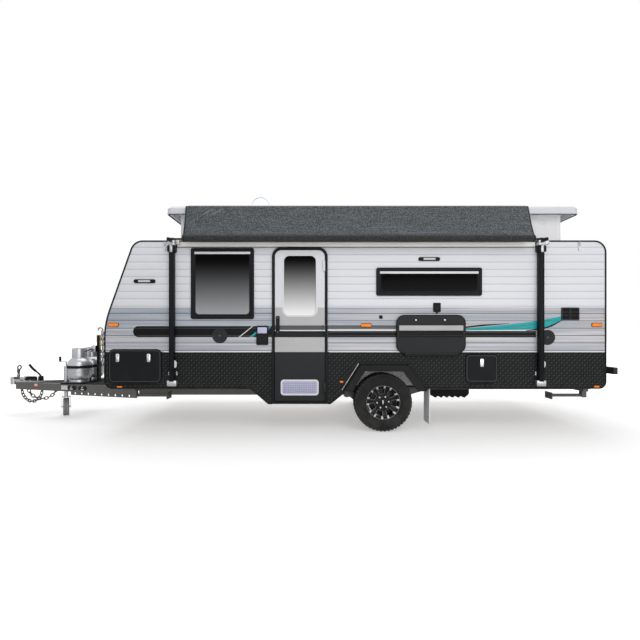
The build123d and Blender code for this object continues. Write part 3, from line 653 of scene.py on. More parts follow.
def lens(name, colour, glow):
    """A moulded lamp lens: clear colour over upright flutes, a faint painted glow for the light it throws back.
    """
    f = Finish(name, 0.12, shine=0.3, emission_color=colour, emission_strength=glow)
    noise = f.group(MOTTLE, Scale=6.0, Fine=60.0)
    x, y, _ = f.xyz(f.place)
    flute = f.sums("SINE", f.times(f.plus(x, y), 900.0))
    f.colour(f.mix(f.step(flute, -0.6, 0.9), shade(colour, 0.75), shade(colour, 1.15)))
    f.gloss(noise["Fine"], 0.08, 0.16)
    f.bump(flute, 0.0006)
    return f.material


def ply(name):
    """Sealed ply: long grain as stretched noise."""
    f = Finish(name, 0.45)
    rings = f.streaks((1.5, 22.0, 22.0), 3.0, 6.0)
    f.colour(f.mix(rings, (0.30, 0.22, 0.14), (0.50, 0.40, 0.28)))
    f.gloss(rings, 0.35, 0.55)
    f.bump(rings, 0.0006)
    return f.material


CLADDING = cladding("ribbed_cladding")
DOOR_SKIN = door_skin("striped_door_skin")
CHEQUER_PLATE = chequer_plate("black_chequer_plate")
HATCH_BLACK = painted("hatch_black", BLACK, 0.42, spread=0.2, dust=0.08, dust_top=0.95, shine=0.06)
ROOF_WHITE = painted("roof_white", (0.67, 0.68, 0.715), 0.3, scale=1.5, spread=0.03, shine=0.3)
CHASSIS = painted("chassis_paint", (0.137, 0.134, 0.129), 0.42, 0.1, spread=0.18, dust=0.3, dust_top=0.6,
                  shine=0.3)
ZINC = painted("galvanised_zinc", (0.52, 0.53, 0.54), 0.36, 0.85, scale=26.0, fine=180.0, spread=0.22,
               skin_depth=0.0004)
FRAME_BLACK = painted("frame_black", (0.010, 0.0105, 0.012), 0.36, spread=0.2, shine=0.1)
PLASTIC = painted("black_plastic", (0.015, 0.015, 0.016), 0.5, fine=400.0, spread=0.18, skin_depth=0.0005,
                  dust=0.08, shine=0.1)
DEEP = (0.001, 0.001, 0.001)
# The grading of the panes is a painted reflection: lighter at the foot, dark at the top.
ROOM_GLASS = glass_with_painted_reflection("window_glass", [(0.0, 1.39, 2.05, (0.37, 0.375, 0.39), DEEP),
                                           (0.6, 1.66, 1.90, (0.008, 0.0085, 0.009), DEEP)])
DOOR_GLASS = glass_with_painted_reflection("door_glass", [(0.0, 1.375, 2.065, (1.0, 1.0, 1.0), DEEP)])
CANVAS = cloth("curtain_canvas", (0.90, 0.90, 0.91), (0.84, 0.84, 0.85), 1300.0, 0.8)
# The awning's creases get painted highlights along their ridges.
AWNING = cloth("awning_cloth", (0.034, 0.038, 0.043), (0.165, 0.180, 0.195), 700.0, 0.85, grain=85.0,
               slubs=0.45, hems=(0.8875, 1.978, 0.103, 2.293),
               creases=[(-0.862, 2.60, 1.4, 0.056), (-0.757, 2.60, 1.25, 0.066)])
AWNING_ROLL = cloth("awning_roll_cloth", (0.018, 0.018, 0.018), (0.055, 0.054, 0.052), 700.0, 0.8, grain=85.0,
                    slubs=0.2)
BOTTLE = painted("bottle_silver", (0.51, 0.52, 0.545), 0.3, 0.7, 0.1, scale=6.0, spread=0.08, dust=0.1)
ALLOY = painted("alloy_black", (0.009, 0.009, 0.010), 0.3, spread=0.2, shine=0.2)
DULL = painted("machined_dull", (0.17, 0.17, 0.175), 0.36, 0.5, scale=20.0, fine=300.0, spread=0.14)
BRIGHT = painted("machined_bright", (0.80, 0.80, 0.81), 0.26, 0.4, scale=20.0, fine=300.0, spread=0.06)
CHROME = painted("latch_chrome", (0.68, 0.68, 0.69), 0.14, 1.0, scale=8.0, fine=90.0, spread=0.05)
TYRE = tyre_finish("tyre_rubber")
RUBBER = painted("soft_rubber", (0.013, 0.013, 0.014), 0.6, fine=300.0, spread=0.2, skin_depth=0.0004,
                 dust=0.12, shine=0.1)
JOCKEY_RUBBER = painted("jockey_rubber", (0.25, 0.25, 0.253), 0.6, fine=300.0, spread=0.25, skin_depth=0.0004,
                        dust=0.15)
FLAP = painted("flap_plastic", (0.92, 0.94, 0.98), 0.45, scale=6.0, spread=0.06, dust=0.12, dust_top=0.35)
TANK = painted("tank_plastic", (0.012, 0.012, 0.013), 0.6, fine=200.0, spread=0.2, skin_depth=0.0006, dust=0.1,
               dust_top=0.6, shine=0.1)
# Each lens glows a little though the lamp is off: painted light.
AMBER = lens("amber_lens", (0.93, 0.23, 0.006), 0.2)
RED = lens("red_lens", (0.55, 0.012, 0.012), 0.1)
CLEAR = lens("clear_lens", (0.66, 0.66, 0.65), 0.06)
WHITE_PLASTIC = painted("white_plastic", (0.72, 0.71, 0.74), 0.35, spread=0.04, fine=200.0)
SLAT = painted("vent_slat", (0.30, 0.29, 0.37), 0.4, spread=0.1)
LILAC = painted("lilac_panel", (0.50, 0.50, 0.72), 0.4, spread=0.06)
SAIL_TRACK = painted("sail_track_cream", (0.90, 0.88, 0.845), 0.4, spread=0.04)
SPEAKER = painted("speaker_grille", (0.030, 0.031, 0.033), 0.55, fine=400.0, spread=0.2, skin_depth=0.0004,
                  shine=0.15)
VENT_FRAME = painted("vent_frame", (0.030, 0.031, 0.037), 0.45, spread=0.15, shine=0.15)
# The beads round the hatches are a lighter grey than the hatches: a painted highlight.
BEAD_HIGHLIGHT_GREY = painted("bead_painted_highlight_grey", (0.062, 0.063, 0.065), 0.35, spread=0.15, shine=0.25)
BOX_ZINC = painted("box_zinc", (0.66, 0.65, 0.64), 0.5, 0.3, scale=42.0, fine=140.0, spread=0.6,
                   skin_depth=0.0008)
TABLE = painted("table_grey", (0.027, 0.0275, 0.029), 0.5, fine=260.0, spread=0.14, skin_depth=0.0004,
                shine=0.1)
TABLE_PALE = painted("table_band_grey", (0.45, 0.45, 0.455), 0.4, scale=1.6, spread=0.35, shine=0.3)
PLY = ply("ply_floor")
LINING = painted("wall_lining", (0.66, 0.655, 0.63), 0.6, fine=150.0, spread=0.05)
STRIPE_BLACK = painted("stripe_black", (0.008, 0.008, 0.009), 0.3, spread=0.2, shine=0.1, ribs=0.5)
# Thin grey lines on the black stripes: painted highlights.
STRIPE_PAINTED_HIGHLIGHT = painted("stripe_painted_highlight", (0.065, 0.067, 0.072), 0.3, spread=0.2, shine=0.2)
STRIPE_GREY = painted("stripe_grey", (0.10, 0.10, 0.105), 0.3, shine=0.3)
STRIPE_TEAL = painted("stripe_teal", (0.003, 0.36, 0.37), 0.3, scale=5.0, spread=0.14, shine=0.3, ribs=0.25)
STRIPE_AQUA = painted("stripe_aqua", (0.02, 0.20, 0.22), 0.3, scale=5.0, shine=0.3)
STRIPE_WHITE = painted("stripe_white", (0.76, 0.765, 0.77), 0.3, spread=0.04, shine=0.3)
STEEL = painted("chain_steel", (0.105, 0.098, 0.09), 0.4, 0.5, scale=30.0, spread=0.3, dust=0.15,
                dust_top=0.5)
LEG_STEEL = painted("leg_steel", (0.085, 0.082, 0.08), 0.45, 0.5, scale=14.0, spread=0.3, dust=0.2,
                    dust_top=0.5)
TAP_STEEL = painted("tap_steel", (0.36, 0.365, 0.38), 0.28, 0.6, scale=20.0, spread=0.22)
BRASS = painted("valve_brass", (0.62, 0.42, 0.16), 0.3, 1.0, scale=20.0, spread=0.1)
HOSE = painted("hose_yellow", (0.55, 0.42, 0.05), 0.5, scale=10.0, spread=0.1)

CAD_FINISHES = [
    (CHASSIS, "chassis_rail_kerb chassis_rail_road drawbar_rail_kerb drawbar_rail_road"),
    (CHASSIS, "cross_members trailing_arms"),
    (ZINC, "coupling safety_chains jockey_clamp jockey_leg jockey_fork"),
    (CLADDING, "wall_front wall_rear wall_kerb wall_road"),
    (CHEQUER_PLATE, "skirt_kerb skirt_road"),
    (ROOF_WHITE, "roof_ring roof_shell roof_fittings"),
    (FRAME_BLACK, "gas_tray window_frames door_frame hatch_hinges awning_arms"),
    (PLASTIC, "handbrake_lever arch_flares door_handle wall_fittings"),
    (HATCH_BLACK, "boot_hatch_kerb boot_hatch_road locker_hatch"),
    (LEG_STEEL, "leg_front_kerb leg_front_road leg_rear_kerb leg_rear_road"),
    (RUBBER, "jockey_wheel air_springs"), (TYRE, "tyre_kerb tyre_road"), (ALLOY, "rim_kerb rim_road"),
    (AWNING, "awning_roller awning_sheet"), (CANVAS, "curtain"), (PLY, "floor"), (LINING, "boot_panels"),
    (DOOR_SKIN, "entry_door"), (DOOR_GLASS, "door_pane"), (ROOM_GLASS, "window_panes"),
    (WHITE_PLASTIC, "door_vent"), (TABLE, "picnic_table"), (BOX_ZINC, "wheel_boxes"), (TANK, "water_tank"),
    (FLAP, "mud_flaps"), (VENT_FRAME, "rear_bumper"), (RED, "tail_lamps"), (AMBER, "marker_lamps"),
    (BOTTLE, "gas_bottles")]
for finish, nodes in CAD_FINISHES:
    for node in nodes.split():
        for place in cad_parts[node].material_slots:
            place.material = finish


# Road wheels

def tyre_shape():
    """A tyre about the Y axis: a closed section turned round, less the grooves of the tread.

    Grooves: zigzag channels round the tread and slots across it, each cut where its line is near.
    """
    half = [(-80, 191), (-91, 197), (-104, 214), (-111.5, 244), (-112.3, 270), (-108, 302), (-102, 325),
            (-95, 338), (-82, 345.5), (-55, 347.4), (-20, 348)]
    line = np.array(half + [(-a, r) for a, r in reversed(half)] + [(40, 191), (-40, 191)])
    a, r = smooth_line(line, 84, closed=True).T
    r = np.minimum(r, AXLE[2])
    a, r = a[:, None], r[:, None]
    angle = np.linspace(0, TAU, 600, endpoint=False)[None]
    blocks = 46
    phase = angle * blocks / TAU
    wave = 2 * np.abs(phase % 1 - 0.5) - 0.5
    side = np.sign(a)
    channel = np.minimum(np.abs(np.abs(a) - 30 - 9 * wave * side), np.abs(a - 8 * wave) + 3)
    cut = np.clip((7.5 - channel) / 2.5, 0, 1)
    cross = np.abs((phase + 0.25 * side + a * 0.004) % 1 - 0.5)
    slot = np.clip((0.17 - cross) / 0.06, 0, 1) * (np.abs(a) > 36)
    tread = np.clip((r - 316) / 22, 0, 1)
    radius = r - 11.0 * np.maximum(cut * (tread > 0.98), slot * tread)
    rings = 0.7 * np.sin(r * 0.55) * ((r > 215) & (r < 300))
    wide = a * (1 + rings / 112 * 0.6 - 0.02 * slot * tread)
    return skin(np.stack([radius * np.sin(angle), wide, radius * np.cos(angle)], -1), ring_rows=True)


SPOKES = 7
SPOKE_PITCH = TAU / SPOKES
NUTS = 6
NUT_CIRCLE = 69.85


def spoke_middle(k):
    """The angle of a spoke's middle line, from the top of the wheel towards the rear."""
    return SPOKE_PITCH * (k + 0.5) - math.radians(8)


def rib_turn(radius):
    """How far a spoke's two ribs stand from its middle line, as an angle: wide at the hub, then nearly even."""
    return np.interp(radius, [86, 110, 184], [0.27, 0.155, 0.165])


def on_face(radius, angle, lift):
    """Points on the dished face of the wheel: radius and angle, and a height over a bowl of radius squared."""
    depth = -50.0 - lift - 0.0014 * (radius - 80) ** 2
    return np.stack([radius * np.sin(angle), depth, radius * np.cos(angle)], -1)


def face_bar(radius, angle, lift, wide, high, ease):
    """A flat bar laid along a line on the wheel's face."""
    return run(on_face(radius, angle, lift), bar_section(wide, high, ease), OUTWARDS)


def wheel_black():
    """The alloy's black pieces about the Y axis: barrel, lip and drum turned, a dished hub, channelled spokes.

    A spoke is two ribs that part from the hub and widen to the lip, with a plate set down between them.
    """
    barrel = [(181, 88), (206, 88), (206, 81), (189.5, 74), (189.5, -74), (206, -82), (206, -90), (199, -93),
              (188, -90), (181, -82), (179, -40), (179, 60)]
    hub = [(0, -58), (36, -58), (40, -57), (44, -52), (92, -50), (97, -46), (97, -20), (60, -6), (60, 120),
           (0, 120)]
    cap = [(0, -71), (24, -70), (31, -66), (34, -57)]
    drum = [(0, -6), (118, -6), (158, -2), (167, 6), (167, 70), (0, 70)]
    parts = [spun(barrel, ORIGIN, "y", 96, ring=True), spun(hub, ORIGIN, "y", 60), spun(cap, ORIGIN, "y", 48),
             spun(drum, ORIGIN, "y", 72)]
    radius = np.linspace(86, 184, 11)
    for k in range(SPOKES):
        a = spoke_middle(k)
        parts += [face_bar(radius, a + side * rib_turn(radius), 0, 13, 26, 4.0) for side in (-1, 1)]
        parts.append(face_bar(radius, np.full(11, a), -9, 46, 12, 3.0))
    return together(parts)


def wheel_dull():
    """Machined lines about the Y axis: one along each rib, one round each window's foot, one round the lip."""
    parts = []
    radius = np.linspace(100, 176, 9)
    foot = 97.0 + 3 * np.cos(np.linspace(-1, 1, 9) * math.pi / 2)
    for k in range(SPOKES):
        a = spoke_middle(k)
        parts += [face_bar(radius, a + side * rib_turn(radius), 12.8, 4.2, 3.0, 1.0) for side in (-1, 1)]
        web = np.linspace(a + 0.27, a + SPOKE_PITCH - 0.27, 9)
        parts.append(face_bar(foot, web, 6, 4.0, 3.0, 1.0))
    lip = [(196.5, -94.2), (199.5, -94.8), (202, -94.0), (199.5, -92.4)]
    return together(parts + [spun(lip, ORIGIN, "y", 96, ring=True)])


def wheel_bright():
    """Bright marks about the Y axis: two pads at each spoke's end up to the lip, the nuts, the cap's bar."""
    parts = []
    radius, lift = np.array([168.0, 178.0, 190.0, 197.0]), np.array([5.0, 11.0, 19.0, 22.0])
    for k in range(SPOKES):
        ends = [spoke_middle(k) + side * 0.20 for side in (-1, 1)]
        parts += [face_bar(radius, np.full(4, a), lift, 24, 9, 3.0) for a in ends]
    for k in range(NUTS):
        a = math.radians(360 / NUTS * k + 25)
        at = (NUT_CIRCLE * math.sin(a), 0, NUT_CIRCLE * math.cos(a))
        parts.append(spun([(0, -72), (7, -71), (10.5, -67), (10.5, -50)], at, "y", 6))
    return together(parts + [eased((-5, 5, -24, 24, 4), -72.6, -69, 1.0)])


WHEEL = [("tyre", tyre_shape(), TYRE, "tyre", "tyre_"), ("alloy", wheel_black(), ALLOY, "alloy_black", "rim_"),
         ("alloy_lines", wheel_dull(), DULL, "alloy_black", None),
         ("alloy_marks", wheel_bright(), BRIGHT, "alloy_black", None)]
for far, side, body in ((False, "kerb", "wheel_near"), (True, "road", "wheel_far")):
    for label, shape, finish, slot, node in WHEEL:
        part = on_side(shifted(shape, *AXLE), far)
        piece(f"{label}_{side}", part, finish, node and node + side, body, sharp=32)


# Body edges, trims and stripes

def body_line(inset):
    """The side of the body as a line: straight runs with an arc at each corner, moved in by an inset."""
    corners = np.array([(0, FLOOR_Z), (0, 1283), (348, WALL_TOP), (LENGTH, WALL_TOP), (LENGTH, FLOOR_Z)], float)
    radii = [100, 1000, 150, 140, 85]
    out = []
    for k, radius in enumerate(radii):
        corner = corners[k]
        before = corners[k - 1] - corner
        after = corners[(k + 1) % 5] - corner
        before /= np.linalg.norm(before)
        after /= np.linalg.norm(after)
        half = math.acos(np.clip(before @ after, -1, 1)) / 2
        middle = (before + after) / np.linalg.norm(before + after)
        centre = corner + middle * radius / math.sin(half)
        p = corner + before * radius / math.tan(half) - centre
        q = corner + after * radius / math.tan(half) - centre
        a, b = math.atan2(p[1], p[0]), math.atan2(q[1], q[0])
        b = a + (b - a + math.pi) % TAU - math.pi
        angle = np.linspace(a, b, 14)
        out.append(centre + (radius - inset) * np.stack([np.cos(angle), np.sin(angle)], -1))
    return np.concatenate(out)


def moulding(line):
    """A half-round moulding carried along a line of X and Z on the near wall."""
    half_round = [(-8.5, -5), (-8.5, 1.5), (-6, 5), (0, 6.5), (6, 5), (8.5, 1.5), (8.5, -5)]
    return run(at_depth(line, NEAR - 4.0), half_round, OUTWARDS)


EDGE_INSET = 7.5
LOW = FLOOR_Z + EDGE_INSET
ARCH_REAR = [(3792, LOW)]
edge = body_line(EDGE_INSET)
near_edge = np.concatenate([[(1962, 349), (1932, 349), (1720, LOW)], edge, ARCH_REAR])
far_edge = np.concatenate([[(2804, LOW)], edge, ARCH_REAR])
drop_edge = [(2638, 349), (2657, 349), (2816, 474)]
mouldings = [moulding(near_edge), moulding(drop_edge), across(moulding(far_edge))]
piece("edge_moulding", mouldings, RUBBER)

# A stripe is a film 0.6 mm thick; the ones laid over others start from that face.
FILM = 0.6
OVER = NEAR - FILM


def film(front, thick):
    """A thin film behind its front face: the face's rows, closed by the same rows set back."""
    back = front + np.array([0, thick, 0])
    return skin(np.concatenate([front, back[:, ::-1]], 1))


def band(x0, x1, low, high, y=NEAR, count=40):
    """A thin stripe on the wall between two edge curves, each a function of the share of the way along it."""
    s = np.linspace(0, 1, count)
    x = x0 + (x1 - x0) * s
    front = [at_depth(np.stack([x, edge_curve(s)], -1), y - FILM) for edge_curve in (low, high)]
    return film(np.stack(front, 1), FILM)


def through(points):
    """An edge through points of share along and height."""
    share, height = np.array(points, float).T
    return lambda s: np.interp(s, share, height)


def level_band(x0, x1, z0, z1, y=NEAR):
    """A stripe with level edges."""
    return band(x0, x1, through([(0, z0)]), through([(0, z1)]), y)


def round_end(z0, z1, share):
    """The two edges of a stripe with a round front end: a quarter ellipse over a share of its length."""
    middle, half = (z0 + z1) / 2, (z1 - z0) / 2

    def reach(s):
        t = np.clip(1 - s / share, 0, 1)
        return np.sqrt(np.clip(1 - t ** 2, 0.0004, 1)) * half

    return lambda s: middle - reach(s), lambda s: middle + reach(s)


def leaning(x0, x1, wide, z0, z1):
    """A slanting stripe over another: a parallelogram from low to high."""
    y = OVER - 0.9
    front = [[(x0, y, z0), (x1, y, z1)], [(x0 + wide, y, z0), (x1 + wide, y, z1)]]
    return film(np.array(front, float), 0.5)


DOOR_FRONT, DOOR_REAR = 1972, 2628
GREY_END = 4230
SWOOSH = (4252, 5392)
SWOOSH_LOW = through([(0, 1206), (0.35, 1209), (0.62, 1216), (0.74, 1226), (0.84, 1250), (0.93, 1296),
                      (1, 1330)])
SWOOSH_HIGH = through([(0, 1228), (0.2, 1250), (0.45, 1277), (0.75, 1318), (0.88, 1349), (1, 1377)])
STREAK_LOW = through([(0, 1207), (0.5, 1231), (1, 1272)])
STREAK_HIGH = through([(0, 1211), (0.5, 1238), (1, 1283)])
SHADOW_LOW = through([(0, 1200), (0.45, 1214), (0.7, 1252), (1, 1325)])
SHADOW_HIGH = through([(0, 1204), (0.45, 1240), (0.7, 1292), (1, 1338)])
BROW_LOW = through([(0, 1236), (1, 1284)])
BROW_HIGH = through([(0, 1252), (0.4, 1276), (1, 1288)])
# Painted highlight lines on the black stripes: X from and to, and the low Z.
PAINTED_HIGHLIGHT_LINES = [(400, DOOR_FRONT, 1232), (400, DOOR_FRONT, 1146), (DOOR_REAR, 5070, 1180), (DOOR_REAR, 5070, 1138)]
STRIPES = [
    ("stripe_black", STRIPE_BLACK, [
        band(338, DOOR_FRONT, *round_end(1127, 1256, 0.04), count=160), level_band(DOOR_REAR, 5075, 1124, 1198),
        band(SWOOSH[0], 4760, BROW_LOW, BROW_HIGH), band(4960, SWOOSH[1], SHADOW_LOW, SHADOW_HIGH),
        level_band(DOOR_REAR, GREY_END, 1224, 1232), level_band(DOOR_REAR, GREY_END, 1258, 1264)]),
    ("stripe_painted_highlight", STRIPE_PAINTED_HIGHLIGHT, [level_band(x0, x1, z, z + 4, OVER) for x0, x1, z in PAINTED_HIGHLIGHT_LINES]),
    ("stripe_grey", STRIPE_GREY, [level_band(DOOR_REAR, GREY_END, 1232, 1258)]),
    ("stripe_white", STRIPE_WHITE, [
        level_band(DOOR_REAR, 4960, 1200, 1210), leaning(1582, 1738, 14, 1129, 1254)]),
    ("stripe_teal", STRIPE_TEAL, [
        band(*SWOOSH, SWOOSH_LOW, SWOOSH_HIGH, OVER, 90), leaning(1706, 1866, 36, 1129, 1254),
        leaning(1895, 1940, 26, 1200, 1254)]),
    ("stripe_streak", STRIPE_AQUA, [band(4300, 5060, STREAK_LOW, STREAK_HIGH, NEAR - 1.0)])]
for name, finish, parts in STRIPES:
    piece(name, both_sides(*parts), finish)

# A pale strip covers the joint between the cladding and the chequer plate.
joint_strip = [box(x0, x1, NEAR - 8.5, NEAR, 949, 963, 2.0) for x0, x1 in ((700, 1962), (2638, 5880))]
piece("cladding_joint", both_sides(*joint_strip), STRIPE_WHITE)

# Windows and door

WINDOWS = ((1022, 1763, 1339, 2172), (3196, 4436, 1611, 1942))
DOOR_PANE = (2107, 2495, 1377, 2087, 70)
VENT = (2076, 2521, 444, 629, 36)
HANDLE_X = 2042
HINGES = (480, 1150, 1900)
HINGE_LINE = (2602, -1179.5)


def window_frame(size):
    """A frame's section carried round its opening: eased outer edge, flat face, a step down to the pane."""
    face = NEAR - 22
    section = [(NEAR, 0), (face + 6, 0), (face + 1.5, -1.5), (face, -6), (face, -30), (face + 1.2, -33),
               (face + 4.5, -35), (face + 5.2, -42), (NEAR, -42)]
    return bezel((*size, 24), section, per=9)


def window_gasket(size):
    """A soft lip from the frame's square corners to the pane's round ones: a rounded rectangle at each row."""
    rows = [(-15, -38, 38.5), (-18.4, -38, 38.5), (-19, -46, 70), (-18.4, -55, 96), (-15, -57, 98)]
    lines = [at_depth(rounded_line(*size, r, grow=grow, per=9), NEAR + y) for y, grow, r in rows]
    return skin(np.stack(lines), ring_rows=True)


def blind_bar(size):
    """The pale bar of the blind across the top of the pane."""
    x0, x1, _, z1 = size
    return box(x0 + 43, x1 - 43, NEAR - 21, NEAR - 15, z1 - 72, z1 - 45, 1.5)


piece("window_surrounds", both_sides(*map(window_frame, WINDOWS)), FRAME_BLACK, "window_frames")
piece("window_gaskets", both_sides(*map(window_gasket, WINDOWS)), RUBBER)
piece("blind_bars", both_sides(*map(blind_bar, WINDOWS)), WHITE_PLASTIC)

pane_rim = [(LEAF + 9, -7), (LEAF - 3, -7), (LEAF - 4.6, -3), (LEAF - 4.6, 8), (LEAF - 3, 12), (LEAF + 0.5, 13),
            (LEAF + 0.5, 0.5), (LEAF + 9, 0.5)]
piece("door_glass_rim", bezel(DOOR_PANE, pane_rim, per=9), WHITE_PLASTIC, body="door")

vent_rim = [(LEAF, 0), (LEAF - 6, 0), (LEAF - 8, -3), (LEAF - 8, -18), (LEAF - 6, -21), (LEAF, -21)]
slats = [box(2096, 2501, LEAF - 7, LEAF - 1, z - 2.5, z + 2.5, 1.2) for z in np.linspace(485, 588, 5)]
slats += [box(x - 2, x + 2, LEAF - 6.4, LEAF - 1, 463, 610, 1.0) for x in np.linspace(2122, 2475, 15)]
vent_mesh = eased((2095, 2502, 463, 610, 16), LEAF - 2.5, LEAF + 1, 1.0)
piece("door_vent_grille", bezel(VENT, vent_rim), WHITE_PLASTIC, "door_vent", "door")
piece("door_vent_slats", slats, SLAT, body="door")
piece("door_vent_mesh", vent_mesh, LILAC, body="door")

grip = [(HANDLE_X, LEAF - out, z) for out, z in ((10, 1205), (27, 1220), (30.5, 1268), (27, 1316), (10, 1331))]
handle = [eased((HANDLE_X - 22, HANDLE_X + 22, 1170, 1375, 14), LEAF - 12, LEAF, 4.0),
          run(smooth_line(grip, 21), bar_section(6, 24, 2.5), REARWARDS)]
lock = [(0, -3), (8, -3), (9.5, -1.5), (9.5, 3)]
locks = [spun(lock, (HANDLE_X, LEAF - 12, z), "y", 24) for z in (1186, 1353)]
sleeves = [rod((*HINGE_LINE, z - 1), (*HINGE_LINE, z + 121), 7.3, 20) for z in HINGES]
leaves = [box(2572, 2593, LEAF - 23, LEAF - 1, z - 2, z + 122, 2.0) for z in HINGES]
piece("door_grab", handle, PLASTIC, "door_handle", "door")
piece("door_locks", locks, LEG_STEEL, body="door")
piece("door_hinge_covers", sleeves, PLASTIC, body="door")
piece("door_hinge_leaves", leaves, DOOR_SKIN, body="door")

# Hatches and the folding table

BOOT_HATCH = (56, 674, 592, 980, 60)
LOCKER_HATCH = (4246, 4622, 596, 922, 50)
TABLE_SIZE = (3431, 4236, 938, 1386, 95)
TABLE_FACE = -1194.0


def hatch_bead(size):
    """A half-round bead pressed round a hatch a little inside its edge."""
    section = [(0.5, -10), (-2.0, -11.5), (-2.8, -14), (-2.0, -16.5), (0.5, -18)]
    return bezel(size, [(LEAF + y, grow) for y, grow in section], per=9)


def hatch_panel(size):
    """The pressed field of a hatch: a plate raised by a soft step."""
    return pillow(size, [(LEAF + 0.5, -34), (LEAF - 0.6, -36), (LEAF - 2.0, -41), (LEAF - 2.4, -46)], per=9)


def latch(x, z):
    """A compression latch: a long eased plate, a raised paddle and a lock barrel."""
    plate = eased((x - 20, x + 20, z - 48, z + 48, 12), LEAF - 5, LEAF, 2.0)
    rows = [(LEAF - 4.5, 0), (LEAF - 8, 0), (LEAF - 9.5, -1.5), (LEAF - 10, -4)]
    paddle = pillow((x - 13, x + 13, z - 42, z + 12, 6), rows, per=5)
    barrel = spun([(0, -3.5), (7, -3.5), (8.5, -2), (8.5, 1)], (x, LEAF - 5, z + 29), "y", 20)
    return together([plate, paddle, barrel])


def table_strip(z0, z1):
    """A long raised strip across the table's face."""
    return eased((3460, 4207, z0, z1, 5), TABLE_FACE + 0.8, TABLE_FACE + 2.5, 0.8)


boot_latches = together([latch(163, 884), latch(527, 884)])
for far, side in ((False, "near"), (True, "far")):
    body = f"boot_hatch_{side}"
    piece(f"boot_trim_{side}", on_side(hatch_panel(BOOT_HATCH), far), HATCH_BLACK, body=body)
    piece(f"boot_bead_{side}", on_side(hatch_bead(BOOT_HATCH), far), BEAD_HIGHLIGHT_GREY, body=body)
    piece(f"boot_latches_{side}", on_side(boot_latches, far), CHROME, body=body)
piece("locker_trim", hatch_panel(LOCKER_HATCH), HATCH_BLACK, body="locker")
piece("locker_bead", hatch_bead(LOCKER_HATCH), BEAD_HIGHLIGHT_GREY, body="locker")
piece("locker_latch", latch(4436, 826), CHROME, body="locker")

table_rim = [(30, -1), (30, 1.5), (4, 1.5), (0.8, 0), (0, -4), (0.8, -9), (2.5, -10)]
table_rim = [(TABLE_FACE + y, grow) for y, grow in table_rim]
button = [(0, -4.5), (6, -4.2), (9, -2.5), (10, 0), (10, 1)]
buttons = [spun(button, (x, TABLE_FACE + 2, 1326), "y", 24) for x in (3655, 3992)]
piece("table_rim", bezel(TABLE_SIZE, table_rim, per=9), FRAME_BLACK, body="table")
piece("table_band", table_strip(1204, 1263), TABLE_PALE, body="table")
piece("table_band_dark", table_strip(1126, 1200), STRIPE_BLACK, body="table")
piece("table_catches", buttons, CHROME, body="table")

# Small fittings of the near wall

SPEAKERS = ((1359, 1143), (5210, 1123))
OUTLET = (1790, 1930, 1035, 1260, 14)
INLET = (3865, 3955, 1420, 1530, 12)
FRIDGE = (5370, 5581, 1326, 1475, 8)
LIGHTS = ((350, 604, 1760, 1806, 22), (3692, 3946, 2020, 2066, 22))


def speaker(x, z):
    """A round speaker: a rim, a ringed grille and a small cap, all turned about its middle."""
    r = np.linspace(12, 76, 44)[::-1]
    grille = list(zip(r, -4.4 + 1.1 * np.cos(r * TAU / 8)))
    rim = [(89, 0), (89, -4), (86.5, -6.6), (80, -7), (77, -5.6)]
    return spun(rim + grille + [(11, -6.6), (0, -7)], (x, NEAR, z), "y", 72)


def speaker_cap(x, z):
    """A small square cap set on its corner."""
    return turned(eased((x - 9, x + 9, z - 9, z + 9, 2), NEAR - 8.6, NEAR - 6.6, 0.6), "y", 45, (x, 0, z))


def on_wall(rows):
    """Rows of depth and growth, the depth counted from the near wall."""
    return [(NEAR + y, grow) for y, grow in rows]


def louvre(x0, x1, z):
    """One tilted slat of the fridge vent."""
    tilted = bar_section(12, 3, 1.0) @ np.array([[0.64, -0.77], [0.77, 0.64]])
    return run([(x, NEAR - 5.5, z) for x in (x0, (x0 + x1) / 2, x1)], tilted)


piece("speakers", [speaker(*at) for at in SPEAKERS], SPEAKER, "wall_fittings")
piece("speaker_caps", [speaker_cap(*at) for at in SPEAKERS], STEEL)

outlet = [eased(OUTLET, NEAR - 21, NEAR, 4.0, per=9),
          bezel(OUTLET, on_wall([(-20, -7), (-23.4, -8), (-23.4, -13), (-20, -14)])),
          eased((1836, 1884, 1046, 1068, 5), NEAR - 24, NEAR - 20, 1.5),
          pillow((1808, 1912, 1076, 1160, 10),
                 on_wall([(-20, 0), (-22, -1), (-22.8, -4), (-22, -9), (-22, -12)])),
          spun([(0, -23), (22, -23.4), (26, -22), (26, -20)], (1860, NEAR, 1118), "y", 40)]
inlet = [eased(INLET, NEAR - 9, NEAR, 3.0),
         spun([(0, -20), (26, -19.6), (33, -17), (36, -12), (36, -8)], (3910, NEAR, 1468), "y", 48),
         rod((3884, NEAR - 12, 1514), (3936, NEAR - 12, 1514), 5),
         rod((3910, NEAR - 13, 1440), (3910, NEAR - 13, 1404), 11)]
catch_knob = [(0, -26), (8, -25), (13, -20), (14, -15), (11, -10), (9, -7)]
table_catch = [eased((3232, 3272, 1342, 1382, 8), NEAR - 8, NEAR, 2.5),
               spun(catch_knob, (3252, NEAR, 1362), "y", 32)]
vent_frame = [bezel(FRIDGE, on_wall([(0, 0), (-9, 0), (-12, -3), (-12, -12), (-10, -14), (0, -14)])),
              box(5467, 5484, NEAR - 11.5, NEAR, 1338, 1463, 2.0)]
vent_frame += [box(5382, 5569, NEAR - 11.5, NEAR - 2, z - 5, z + 5, 2.0) for z in (1380, 1421)]
louvres = [louvre(x0, x1, 1351 + 20 * row) for row in range(6) for x0, x1 in ((5382, 5472), (5479, 5569))]
louvres.append(eased((5384, 5568, 1340, 1462, 4), NEAR - 1.2, NEAR + 1, 0.4))
label = eased((1806, 1914, 1172, 1242, 6), NEAR - 22.8, NEAR - 20, 0.8)
piece("fridge_vent_frame", vent_frame, VENT_FRAME)
